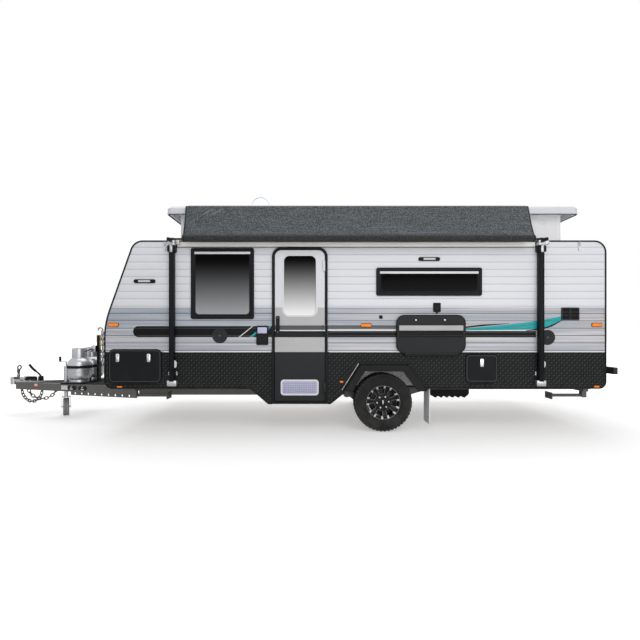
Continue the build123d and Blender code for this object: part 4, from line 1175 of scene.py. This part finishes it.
piece("wall_boxes", outlet + inlet + table_catch + louvres, PLASTIC)
piece("outlet_label", label, LILAC)

light_rim = on_wall([(0, 0), (-10, 0), (-17, -3), (-20, -8), (-20.5, -14)])
light_rims = [pillow(size, light_rim, per=9) for size in LIGHTS]
glass_rows = on_wall([(-19, 0), (-21, -0.5), (-21.8, -3), (-22, -6)])
light_glass = [pillow((x0 + 56, x1 - 56, z0 + 11, z1 - 11, 8), glass_rows) for x0, x1, z0, z1, _ in LIGHTS]
piece("porch_light_rims", light_rims, FRAME_BLACK)
piece("porch_lights", light_glass, CLEAR)

# Lamps: each marker's X and Z, half its length and height, and the face it stands on.

MARKERS = [(110, 1270, 65, 24, NEAR), (3080, 1266, 65, 24, NEAR), (5790, 1270, 65, 24, NEAR),
           (5780, 546, 35, 15, SKIRT), (2790, 602, 24, 17, SKIRT), (186, 544, 35, 13, SKIRT)]
TAIL = (930, 1050, 820, 1120, 16)
TAIL_LENSES = (("tail_red", RED, "red_lens", 915, 1026, "tail_lamps"),
               ("tail_amber", AMBER, "amber_lens", 1029, 1110, None),
               ("tail_clear", CLEAR, "vent_white", 830, 912, None))
PLATE = (330, 702, 850, 964, 10)


def facing_rear(*parts):
    """Plates drawn for the door side, turned to face the rear and set on the rear wall: X becomes Y."""
    return shifted(turned(together(parts), "z", 90), x=LENGTH)


bases, lenses = [], []
for x, z, half, high, y in MARKERS:
    size = (x - half, x + half, z - high, z + high, high * 0.8)
    bases.append(pillow(size, [(y, 0), (y - 5, 0), (y - 6.5, -1.5), (y - 6.8, -3)]))
    lenses.append(pillow(size, [(y - 4, -4), (y - 12, -5), (y - 16, -8), (y - 17.6, -12), (y - 18, -15)]))
piece("marker_bases", both_sides(*bases), PLASTIC)
piece("marker_lenses", both_sides(*lenses), AMBER, "marker_lamps")

tail_case = bezel(TAIL, [(0, 0), (-14, 0), (-18, -2.5), (-19, -6), (-17, -9), (0, -9)])
tail_back = eased((938, 1042, 828, 1112, 8), -8, 0, 2.0)
piece("tail_cases", both_sides(facing_rear(tail_case, tail_back)), PLASTIC)
for name, finish, slot, low, high, node in TAIL_LENSES:
    glass = pillow((940, 1040, low, high, 6), [(-6, 0), (-20, 0), (-26, -3), (-29, -9), (-30, -16)])
    piece(name, both_sides(facing_rear(glass)), finish, node)
high_lamp = pillow((1010, 1090, 2120, 2150, 6), [(0, 0), (-10, 0), (-14, -3), (-16, -7)])
piece("high_lamps", both_sides(facing_rear(high_lamp)), RED)
plate_rim = bezel(PLATE, [(-3, 0), (-6, -1), (-6, -5), (-3, -6)])
piece("number_plate", facing_rear(eased(PLATE, -4, 0, 1.5), plate_rim), WHITE_PLASTIC)
piece("plate_lamp", facing_rear(eased((486, 546, 978, 1004, 6), -24, 0, 3.0)), PLASTIC)

# Awning

ROLL_Y, ROLL_Z = -1318.0, 2250.0
ROLL_FRONT, ROLL_REAR = 984, 4966
ARMS = (812, 5110)
TRACK_Z = 2217
CLIPS = (715, 5580)
# An arm's blocks about its middle line: X, Y and Z from and to, and the ease of the edges.
ARM_BRACKETS = [(-41, 41, -1228, -1156, 2194, 2252, 5.0), (-54, 54, -1214, -1155, 556, 622, 5.0),
                (-15, 15, -1233, -1226, 2112, 2200, 3.0), (44, 92, -1212, -1178, 2206, 2262, 6.0)]
ARM_RAILS = [(-47, 47, -1230, -1158, 2118, 2188, 5.0), (-34, 34, -1226, -1160, 2252, 2280, 6.0),
             (-13, 13, -1222.5, -1214, 700, 2100, 2.0), (-28, -24, -1220.5, -1214, 700, 2100, 1.2),
             (24, 28, -1220.5, -1214, 700, 2100, 1.2), (-29, 29, -1217, -1160, 611, WALL_TOP - 1, 4.0),
             (-50, 50, -1162, SKIRT, 566, 720, 2.0), (-45, 45, -1162, NEAR, 2130, 2250, 2.0),
             (-15, 15, -1334, -1213, 2226, WALL_TOP - 1, 3.0)]


def awning_roll():
    """The rolled cloth: a circle carried along the roller, its radius uneven by two slow waves."""
    x = np.linspace(ROLL_FRONT, ROLL_REAR, 90)
    radius = 41.2 + 0.5 * np.sin(x / 170) + 0.3 * np.sin(x / 61)
    section = circle(1.0, 40)[None] * radius[:, None, None]
    return run(np.stack([x, np.full_like(x, ROLL_Y), np.full_like(x, ROLL_Z)], -1), section)


def roller_ends():
    """The roller's end caps and pins, turned about its line."""
    cap = [(0, -8), (30, -8), (38, -6), (42, -2), (42, 14), (39, 18), (20, 18), (0, 18)]
    front = spun(cap, (ROLL_FRONT, ROLL_Y, ROLL_Z), "x", 48)
    rear = spun([(r, -h) for r, h in cap], (ROLL_REAR, ROLL_Y, ROLL_Z), "x", 48)
    pin = (ROLL_Y, ROLL_Z - 6)
    return [front, rear, rod((827, *pin), (975, *pin), 11), rod((4975, *pin), (5095, *pin), 11)]


def awning_sheet():
    """The cloth from the roller to the roof edge: straight between them, a sag and creases along its normal.

    The cloth is 80 mm wider at its head. Sag is a half sine of the way up; creases are waves that fade with the
    distance from each end, and two slanting folds near the head; both faces follow.
    """
    u, s = np.meshgrid(np.linspace(-1, 1, 400), np.linspace(0, 1, 40), indexing="ij")
    x = 2975 + u * (1993 + 40 * s)
    foot, head = np.array([-1323.0, 2292.6]), np.array([-1102.5, 2680.0])
    rise = head - foot
    normal = np.array([-rise[1], rise[0]])
    normal /= np.linalg.norm(normal)
    hump = np.sin(math.pi * s)
    front = np.exp(-((x - 1050) / 520) ** 2)
    rear = np.exp(-((x - 4900) / 300) ** 2)
    crease = 5.0 * front * np.sin((x - 970) / 58 + 5 * s) + 3.5 * rear * np.sin((x - 4980) / 47 - 6 * s)
    fold_up = s - 0.79
    for x0 in (1225, 1330):
        off = (x - x0) - fold_up * 480
        crease = crease + 17.0 * np.exp(-(off / 17) ** 2) * np.exp(-(fold_up / 0.17) ** 4)
    sag = hump * (crease - 9.0 - 3.0 * np.sin(x / 410)) + 1.2 * hump * np.sin(x / 190 + 2 * s)
    hem = 0.8 * ((np.abs(u) > 0.983) | (s > 0.93) | (s < 0.06))

    def face(off):
        y, z = [foot[k] + s * rise[k] + normal[k] * (sag + off) for k in (0, 1)]
        return np.stack([x, y, z], -1)

    return skin(np.concatenate([face(1.3 + hem), face(-1.3 - hem)[:, ::-1]], 1))


piece("awning_roll", awning_roll(), AWNING_ROLL, "awning_roller")
piece("awning_roll_ends", roller_ends(), PLASTIC)
sheet = piece("awning_cloth", awning_sheet(), AWNING, "awning_sheet", sharp=60)
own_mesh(sheet)

pull = [(0, -11), (38, -11), (43, -8), (45, -3), (45, 3), (43, 8), (38, 11), (0, 11)]
verts, faces = spun(pull, ORIGIN, "y", 20, arc=(0, 180))
half_moon = (verts * np.array([0.6, 1.0, 1.0]), faces)
brackets, rails, pulls = [], [], []
for x in ARMS:
    brackets += [box(x + x0, x + x1, *rest) for x0, x1, *rest in ARM_BRACKETS]
    brackets += [bolt((x + off, -1162, z), 8, 7) for off in (-44, 44) for z in (690, 712)]
    brackets += [bolt(at, 9, 8) for at in ((x, -1227, 2222), (x - 30, -1214, 588), (x + 30, -1214, 588))]
    rails += [box(x + x0, x + x1, *rest) for x0, x1, *rest in ARM_RAILS]
    pulls.append(shifted(half_moon, x + 29, -1190, 811))
piece("arm_brackets", brackets, ZINC)
piece("arm_rails", rails, FRAME_BLACK, "awning_arms")
track = [(0, -29), (6, -29), (8, -26), (8, 8), (12, 13), (12, 24), (8, 29), (0, 29)]
track_line = [(x, NEAR, TRACK_Z) for x in (862, 2960, 5060)]
piece("sail_track", run(track_line, track), SAIL_TRACK)
# A dark strip under the sail track: the track's painted shadow.
piece("sail_track_painted_shadow", box(862, 5060, NEAR - 5, NEAR, 2180.5, 2188, 1.2), RUBBER)
piece("arm_pulls", pulls, WHITE_PLASTIC)

clips, clip_bolts = [], []
for x in CLIPS:
    clips += [eased((x - 17, x + 17, 2176, 2246, 7), NEAR - 7, NEAR, 2.0),
              eased((x - 10, x + 10, 2140, 2200, 8), NEAR - 15, NEAR - 6, 2.5)]
    hook = [(x, NEAR - 11, 2190), (x, NEAR - 13, 2225), (x, NEAR - 10, 2250)]
    clip_bolts += [run(hook, bar_section(12, 6, 2.0), REARWARDS),
                   eased((x - 9, x + 9, 2196, 2236, 7), NEAR - 17, NEAR - 6, 2.5)]
piece("roof_clips", both_sides(*clips), WHITE_PLASTIC)
piece("roof_clip_bolts", both_sides(*clip_bolts), TAP_STEEL)

# Roof

LIFT = 394


def canvas_curtain():
    """The canvas between body and raised roof: a rounded rectangle in plan, drawn in by folds between its seams.

    Inward depth = sin(pi t) to the power 0.6, times two waves along the line; the inner face lies 2.4 mm
    further in.
    """
    line = rounded_line(819, 5500, -960, 960, 45, per=9)
    line = np.concatenate([line, line[:1]])
    run_on = np.concatenate([[0], np.cumsum(np.linalg.norm(np.diff(line, axis=0), axis=1))])
    s = np.linspace(0, run_on[-1], 1100, endpoint=False)
    plan = np.stack([np.interp(s, run_on, line[:, k]) for k in (0, 1)], -1)
    tangent = np.roll(plan, -1, 0) - np.roll(plan, 1, 0)
    tangent /= np.linalg.norm(tangent, axis=1)[:, None]
    inward = np.stack([-tangent[:, 1], tangent[:, 0]], -1)
    t = np.linspace(0, 1, 24)
    turn = TAU / run_on[-1] * s[:, None]
    swell = 0.5 + 0.5 * np.sin(110 * turn + 2.0 * np.sin(9 * turn))
    broad = 0.5 + 0.5 * np.sin(31 * turn + 1.0)
    depth = (13 * swell + 8 * broad) * (np.sin(math.pi * t)[None] ** 0.6)
    depth += 5 * np.sin(TAU * t)[None] ** 2 * broad
    height = np.broadcast_to((WALL_TOP + LIFT * t)[None, :, None], (len(s), len(t), 1))

    def face(off):
        xy = plan[:, None] + inward[:, None] * (depth + off)[..., None]
        return np.concatenate([xy, height], -1)

    return skin(np.concatenate([face(0.6), face(3.0)[:, ::-1]], 1), ring_rows=True)


def roof_ring(grow, z, section):
    """A section carried level round the raised roof's edge in plan."""
    line = rounded_line(701, 5635, -1080, 1080, 70, grow=grow, per=9)
    return run(at_height(line, z), section, closed=True)


def roof_rail(y):
    """A bent rail on the roof's rear, a circle carried along a smooth line, on two posts."""
    line = [(4620, 2706), (4640, 2738), (4700, 2750), (5100, 2752), (5420, 2748), (5470, 2736), (5490, 2700)]
    rail = run(smooth_line(at_depth(line, y), 60), circle(9, 14))
    return together([rail] + [rod((x, y, 2700), (x, y, 2752), 7) for x in (4900, 5180)])


def roof_bead(y):
    """A low ridge along the roof's top."""
    ridge = [(-26, -2), (-20, 4), (-8, 6.5), (8, 6.5), (20, 4), (26, -2)]
    return run([(x, y, 2711) for x in (980, 3150, 5330)], ridge)


curtain = piece("canvas_curtain", canvas_curtain(), CANVAS, "curtain", sharp=70)
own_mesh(curtain)
piece("roof_seal", roof_ring(-14, 2595.2, bar_section(22, 4, 1.5)), RUBBER, body="roof")
piece("roof_edge_line", roof_ring(0.5, 2612, bar_section(5, 16, 2)), ROOF_WHITE, body="roof")
piece("roof_beads", [roof_bead(y) for y in (-860, -430, 430, 860)], ROOF_WHITE, body="roof")
piece("roof_rails", [roof_rail(y) for y in (-640, 640)], ROOF_WHITE, body="roof")

# Wheel arches and what lies under the floor

flange = np.array([(2806, 498), (3004, 812), (3569, 812), (3789, 498)], float)
flange = np.concatenate([a + (b - a) * np.linspace(0, 1, 12)[:, None] for a, b in zip(flange, flange[1:])])
ARCH_BOLTS = ((2838, 549), (2905, 655), (2972, 762), (3100, 812), (3286, 812), (3470, 812), (3598, 771),
              (3676, 659), (3755, 547))
# A bright strip along the front slant of each flare: a painted highlight.
painted_highlight_line = at_depth([(2794, 505), (2893, 662), (2990, 816)], SKIRT - 5.5)
flange = run(at_depth(flange, SKIRT - 2.5), bar_section(34, 6, 2.0), OUTWARDS)
bolts = [bolt((x, SKIRT - 5, z), 6.5, 5) for x, z in ARCH_BOLTS]
tooth = [(-34, 2), (-4, -25), (4, -25), (34, 2)]
tank_ribs = [run([(x, y, 344) for y in (-540, 0, 540)], tooth) for x in np.linspace(4062, 4442, 6)]
piece("arch_flanges", both_sides(flange), PLASTIC)
piece("arch_bolts", both_sides(*bolts), FRAME_BLACK)
piece("arch_painted_highlight", both_sides(run(painted_highlight_line, bar_section(7, 4, 1.5), OUTWARDS)), ZINC)
piece("tank_ribs", tank_ribs, TANK)
piece("floor_packers", both_sides(box(196, 5780, -622, -578, 469, 521, 2.0)), RUBBER)

# Drawbar: the rails part from the apex, from 45 mm off the middle line to 600 mm.

APEX = (-1800.0, 45.0)
RAIL_OUT, RAIL_ALONG = 600 - 45, 150 + 1800
RAIL_ANGLE = math.degrees(math.atan2(RAIL_OUT, RAIL_ALONG))


def on_rail(*parts):
    """Surfaces drawn along a drawbar rail, its outer face at y = -25, set on the near rail."""
    return shifted(turned(together(parts), "z", -RAIL_ANGLE), APEX[0], -APEX[1])


def chain_links():
    """A chain in a loop: the links' middles are the running sum of the pitch along angles of -70 to 70 degrees.

    Each link is a round bar carried round a long ring, turned to its angle, every second one lying flat.
    """
    count, pitch = 11, 45.9
    start = np.array([84.0, 348.0])
    angle = np.radians(np.linspace(-70, 70, count))
    way = np.stack([np.cos(angle), np.sin(angle)], -1)
    ends = start + np.cumsum(pitch * way, 0)
    middles = ends - 0.5 * pitch * way
    ring = rounded_line(-29.2, 29.2, -19.2, 19.2, 19.1, per=6)
    bar = circle(6.6, 10)
    upright = run(at_depth(ring, 0.0), bar, INWARDS, closed=True)
    flat = run(at_height(ring, 0.0), bar, closed=True)
    parts = []
    for k, (x, z) in enumerate(middles):
        link = flat if k % 2 else upright
        parts.append(shifted(turned(link, "y", -math.degrees(angle[k])), x, 0, z))
    return parts + [box(x - 14, x + 14, -10, 10, 338, 371, 3.0) for x in (start[0], ends[-1, 0])]


def rail_plate(x0, x1, z0, z1, out, ease):
    """A thin plate on the rail's outer face."""
    return on_rail(eased((x0, x1, z0, z1, 4), -25 - out, -24.5, ease))


piece("chains", both_sides(on_rail(*chain_links())), STEEL, "safety_chains")
piece("rail_reflector_white", rail_plate(340, 396, 424, 456, 1.6, 0.8), CLEAR)
piece("rail_reflector_red", rail_plate(340, 396, 390, 422, 1.6, 0.8), RED)
piece("rail_plate", rail_plate(815, 925, 392, 452, 1.2, 0.6), WHITE_PLASTIC)
socket = [(0, -22), (20, -22), (26, -18), (28, -8), (30, -4), (30, 0)]
sockets = [spun(socket, (x, -25, 424), "y", 32) for x in (965, 1040, 1150, 1215)]
valves = [rod((x, -40, 410), (x + 46, -40, 410), 12) for x in (985, 1170)]
valves += [rod((x + 20, -26, 436), (x + 20, -52, 436), 9) for x in (985, 1170)]
piece("rail_sockets", on_rail(*sockets), PLASTIC)
piece("rail_valves", on_rail(*valves), ZINC)

# Handbrake and coupling

lever_line = [(-1478, 500), (-1492, 545), (-1530, 590), (-1578, 628), (-1615, 660), (-1660, 714)]
lever_line = smooth_line(at_depth(lever_line, 0.0), 30)
lever = [run(lever_line, bar_section(14, 34, 4.0), INWARDS), box(-1528, -1458, -15, 15, 484, 530, 4.0),
         box(-1520, -1466, -22, -15, 486, 548, 3.0), box(-1520, -1466, 15, 22, 486, 548, 3.0),
         rod((-1486, -26, 532), (-1486, 26, 532), 8)]
piece("handbrake", lever, FRAME_BLACK, "handbrake_lever")
piece("handbrake_grip", run(lever_line[-14:], circle(17, 20), INWARDS), RUBBER)

coupling = [bolt((x, y, 484), 11, 11, upright=True) for x in (-1765, -1690, -1610) for y in (-54, 54)]
coupling += [box(-1768, -1700, -46, -32, 486, 540, 4.0), box(-1768, -1700, 32, 46, 486, 540, 4.0),
             rod((-1735, -58, 515), (-1735, 58, 515), 12),
             spun([(39, 0), (39, 10), (34, 15), (34, -2), (39, -2)], (-1885, 0, 521), "z", 40)]
ring_x, ring_z = circle(22, 40).T
pin_ring = at_depth(np.stack([-1803 + 1.15 * ring_x + 0.2 * ring_z, 672 + 1.3 * ring_z], -1), 0.0)
pin_stem = [(13, 540), (19, 542), (20, 556), (15, 566), (15, 600), (20, 606), (21, 632), (15, 648), (0, 652)]
pin = [run(pin_ring, circle(9, 14), INWARDS, closed=True), spun(pin_stem, (-1815, 0, 0), "z", 28),
       box(-1880, -1770, -34, 34, 500, 536, 8.0), box(-1768, -1560, -30, 30, 484, 500, 4.0)]
fold = np.linspace(0, 140, 57)
gaiter = np.stack([27 + 7 * np.abs(np.sin(fold / 140 * math.pi * 7)), fold - 1700], -1)
gaiter = np.concatenate([[(0, -1700)], gaiter, [(0, -1560)]])
piece("coupling_fittings", coupling, ZINC)
piece("coupling_pin", pin, LEG_STEEL)
piece("coupling_gaiter", spun(gaiter, (0, 0, 512), "x", 36), RUBBER)

# Jockey wheel, its stem 750 mm along the rail from the apex

JOCKEY = (APEX[0] + 750, 128.5 - APEX[1] - (RAIL_OUT / RAIL_ALONG) * 750)
STEM = (*JOCKEY, 0)
JOCKEY_AXLE = (JOCKEY[0], JOCKEY[1] + 40, 125.0)


def castor(part):
    """A surface of the jockey wheel, turned on the stem as the wheel was left."""
    return turned(part, "z", 30, STEM)


tread = [(96, -30), (108, -37), (118, -36), (123.5, -30), (125, -18), (124.4, -7), (120, -3)]
tread += [(r, -h) for r, h in reversed(tread)]
hub = [(96, -28), (90, -32), (84, -18), (44, -14), (34, -30), (20, -38), (8.6, -39)]
hub += [(r, -h) for r, h in reversed(hub)]
knob = [(0, 838), (10, 837), (15, 831), (16, 815), (14.5, 795), (15.5, 775), (12, 769), (0, 769)]
low_collar = [(30.2, 392), (35, 392), (36, 396), (36, 412), (34, 416), (30.2, 416)]
top_collar = [(0, 704), (24, 703), (32, 698), (33, 684), (30.2, 680)]
clamp_x, clamp_y = JOCKEY[0], JOCKEY[1] + 40
collars = [spun(low_collar, STEM, "z", 40, ring=True), spun(top_collar, STEM, "z", 40),
           rod((clamp_x, clamp_y - 12, 430), (clamp_x, clamp_y + 6, 430), 9),
           rod((clamp_x - 34, clamp_y, 430), (clamp_x + 34, clamp_y, 430), 6)]
jockey_tyre = castor(spun(tread, JOCKEY_AXLE, "x", 72, ring=True))
jockey_hub = castor(spun(hub, JOCKEY_AXLE, "x", 60, ring=True))
piece("jockey_tyre", jockey_tyre, JOCKEY_RUBBER, "jockey_wheel", "jockey_roller")
piece("jockey_hub", jockey_hub, ZINC, body="jockey_roller")
piece("jockey_knob", spun(knob, (JOCKEY[0] - 86, JOCKEY[1], 0), "z", 28), PLASTIC)
piece("jockey_collars", collars, ZINC)

# Gas bottles and the front tap

BOTTLE_X, BOTTLE_Z = -840, 490
BOTTLE_YS = (-166, 166)
STRAP_REACH = 158.4
STRAP_Z = 700
REGULATOR_X, REGULATOR_Z = -706, 942
TAP_X = -600


def gas_bottle(y):
    """A gas bottle turned about its axis: a foot ring, and a domed body with a middle weld."""
    foot = [(118, 0), (122, 1), (122.5, 30), (118, 40), (114, 40), (115, 2)]
    line = [(0, 18), (60, 20), (110, 28), (142, 48), (155, 82), (156, 110), (156, 136), (157.2, 140),
            (157.2, 148), (156, 152), (156, 214), (153, 248), (141, 285), (118, 316), (88, 338), (48, 350),
            (0, 354)]
    body = smooth_line(line, 90)
    body[:, 0] = np.clip(body[:, 0], 0, 157.2)
    body[[0, -1], 0] = 0
    at = (BOTTLE_X, y, BOTTLE_Z)
    return together([spun(foot, at, "z", 72, ring=True), spun(body, at, "z", 96)])


def bottle_collar(y):
    """The guard round a bottle's valve: two bent plates with rounded tops, each an arc of a ring."""
    wall = [(94, 330), (98, 330), (98, 462), (97, 468), (95, 468), (94, 462)]
    rim = [(92, 462), (96, 470), (100, 462), (96, 456)]
    return together([spun(line, (BOTTLE_X, y, BOTTLE_Z), "z", 30, arc=(start, start + 140), ring=True)
                     for line in (wall, rim) for start in (20, 200)])


def bottle_valve(y):
    """A bottle's valve: turned body and hand wheel, with an outlet to the rear."""
    stem = [(0, 345), (22, 345), (22, 372), (14, 378), (14, 430), (16, 436), (8, 440), (8, 450), (0, 450)]
    wheel = [(0, 448), (22, 448), (26, 452), (26, 460), (22, 464), (0, 464)]
    at = (BOTTLE_X, y, BOTTLE_Z)
    nose = rod((BOTTLE_X + 6, y, 908), (BOTTLE_X + 54, y, 908), 11)
    return together([spun(stem, at, "z", 24), spun(wheel, at, "z", 10), nose])


def pigtail(side):
    """A short bent pipe from the regulator to a bottle's valve."""
    line = [(-706, 82, 942), (-706, 106, 944), (-716, 132, 936), (-748, 154, 918), (-786, 166, 908)]
    return run(smooth_line([(x, side * y, z) for x, y, z in line], 30), circle(6.5, 12))


def tap_joint(z, r):
    """A joint on the tap's pipe: two eight-sided collars with a neck between them."""
    line = [(0, -24), (r - 4, -24), (r, -18), (r, -5), (r - 5, -2), (r - 5, 4), (r, 8), (r, 18), (r - 4, 24),
            (0, 24)]
    return spun(line, (TAP_X, 0, z), "z", 8)


piece("gas_cylinders", [gas_bottle(y) for y in BOTTLE_YS], BOTTLE, "gas_bottles")
piece("gas_collars", [bottle_collar(y) for y in BOTTLE_YS], BOTTLE)
piece("gas_valves", [bottle_valve(y) for y in BOTTLE_YS], BRASS)
loop = rounded_line(BOTTLE_X - STRAP_REACH, BOTTLE_X + STRAP_REACH, BOTTLE_YS[0] - STRAP_REACH,
                    BOTTLE_YS[1] + STRAP_REACH, 158, per=20)
straps = [run(at_height(loop, STRAP_Z), bar_section(3, 38, 1.0), closed=True)]
straps += [box(-690, -640, y, y + 6, STRAP_Z - 19, STRAP_Z + 19, 2.0) for y in (-36, 30)]
piece("bottle_straps", straps, RUBBER)

dial = (-730, 0, REGULATOR_Z)
regulator = [box(-734, -672, -63, 63, 897, 988, 7.0),
             spun([(0, -34), (34, -32), (46, -24), (50, -12), (50, 0)], dial, "x", 48),
             spun([(0, -42), (10, -42), (13, -38), (13, -30)], dial, "x", 24)]
for y0, y1, r, count in ((-66, 66, 13, 16), (-60, -84, 9, 6), (60, 84, 9, 6)):
    regulator.append(rod((REGULATOR_X, y0, REGULATOR_Z), (REGULATOR_X, y1, REGULATOR_Z), r, count))
hose = [(-622, -20, 1126), (-616, -24, 1080), (-624, -22, 1040), (-618, -26, 990), (-622, -22, 950)]
piece("gas_regulator", regulator, ZINC)
piece("gas_pipes", [pigtail(side) for side in (-1, 1)], FRAME_BLACK)
piece("gas_hose_clipped", run(smooth_line(hose, 40), circle(9, 12), INWARDS), HOSE)

spout = [(TAP_X, 0, 1180), (TAP_X, 0, 1212), (-610, -2, 1236), (-632, -4, 1246), (-654, -6, 1236),
         (-660, -6, 1206)]
tap = [run(smooth_line(spout, 30), circle(10, 16), INWARDS), rod((TAP_X, -12, 1190), (TAP_X, -46, 1198), 7),
       rod((TAP_X, 0, 690), (TAP_X, 0, 1190), 12)]
tap += [tap_joint(z, r) for z, r in ((720, 19), (830, 22), (905, 26), (1010, 20), (1085, 24), (1165, 22))]
tap += [box(-648, -592, -14, 14, z - 9, z + 9, 3.0) for z in (770, 1130)]
piece("front_tap", tap, TAP_STEEL)

# Studio: each lamp's place, the point it faces, its two sides and its power

LAMPS = (("key", (2.0, -7.8, 5.6), (1.0, 0, 1.1), (7.0, 4.0), 195.0),
         ("fill", (3.0, -8.5, 1.5), (1.0, 0, 1.6), (10.0, 2.4), 155.0),
         ("top", (0.3, 0.8, 7.5), (0.3, 0, 0), (10.0, 5.0), 260.0),
         ("back", (1.0, 8.0, 4.0), (0.3, 0, 1.2), (9.0, 4.0), 220.0))
PURE_WHITE = (1.0, 1.0, 1.0)


def camera():
    """A camera at the photograph's place."""
    data = bpy.data.cameras.new("camera")
    data.sensor_width = 36.0
    data.lens = 23.93
    data.shift_x = 0.003
    data.shift_y = 0.017
    eye = add("camera", data)
    eye.location = (0.4265, -6.08, 1.2)
    eye.rotation_euler = (math.pi / 2, 0.0, 0.0)
    bpy.context.scene.camera = eye


def lamps():
    """Four soft lamps, each turned from its place to the point it faces."""
    for name, where, aim, size, power in LAMPS:
        data = bpy.data.lights.new(name, "AREA")
        data.shape = "RECTANGLE"
        data.size, data.size_y = size
        data.energy = power
        lamp = add(name, data)
        lamp.location = where
        way = np.array(aim, float) - np.array(where, float)
        flat = math.hypot(way[0], way[1])
        lamp.rotation_euler = (math.atan2(flat, -way[2]), 0.0, math.atan2(way[1], way[0]) - math.pi / 2)


def surroundings():
    """A world that is white to the camera, in reflections and through glass, and dimmer as a light."""
    world = bpy.data.worlds.new("studio")
    bpy.context.scene.world = world
    world.use_nodes = True
    w = Nodes(world.node_tree)
    w.tree.nodes.clear()
    ray = w.put("ShaderNodeLightPath").outputs
    seen = w.sums("ADD", ray["Is Camera Ray"], ray["Is Glossy Ray"], clamp=True)
    seen = w.sums("ADD", seen, ray["Is Transmission Ray"], clamp=True)
    strength = w.sums("MULTIPLY_ADD", seen, 0.62, 0.38)
    sky = w.put("ShaderNodeBackground", {"Color": PURE_WHITE, "Strength": strength})
    w.put("ShaderNodeOutputWorld", {0: sky.outputs[0]})


def ground():
    """A pale level floor that glows to the camera, more with the distance, and keeps the shadow."""
    f = Finish("studio_floor", 0.7, emission_color=PURE_WHITE)
    noise = f.group(MOTTLE, Scale=0.6, Fine=30.0)
    f.colour(f.mix(noise["Slow"], (0.84, 0.84, 0.84), (0.88, 0.88, 0.88)))
    far = f.put("ShaderNodeVectorMath", {0: f.place}, operation="LENGTH").outputs["Value"]
    glow = f.sums("MULTIPLY_ADD", f.step(far, 3.5, 10.0), 0.52, 0.38)
    seen = f.put("ShaderNodeLightPath").outputs["Is Camera Ray"]
    f.feed(f.shader["Emission Strength"], f.times(seen, glow))
    u = np.linspace(-40, 40, 9)
    x, y = np.meshgrid(u, u, indexing="ij")
    verts, faces = skin(np.stack([x, y, np.full_like(x, -0.002)], -1), ring_cols=False)
    mesh = bpy.data.meshes.new("studio_floor")
    mesh.from_pydata(verts.tolist(), [], faces[0][:, ::-1].tolist())
    mesh.materials.append(f.material)
    add("studio_floor", mesh)


camera()
lamps()
surroundings()
ground()
bpy.context.scene.view_settings.view_transform = "Standard"
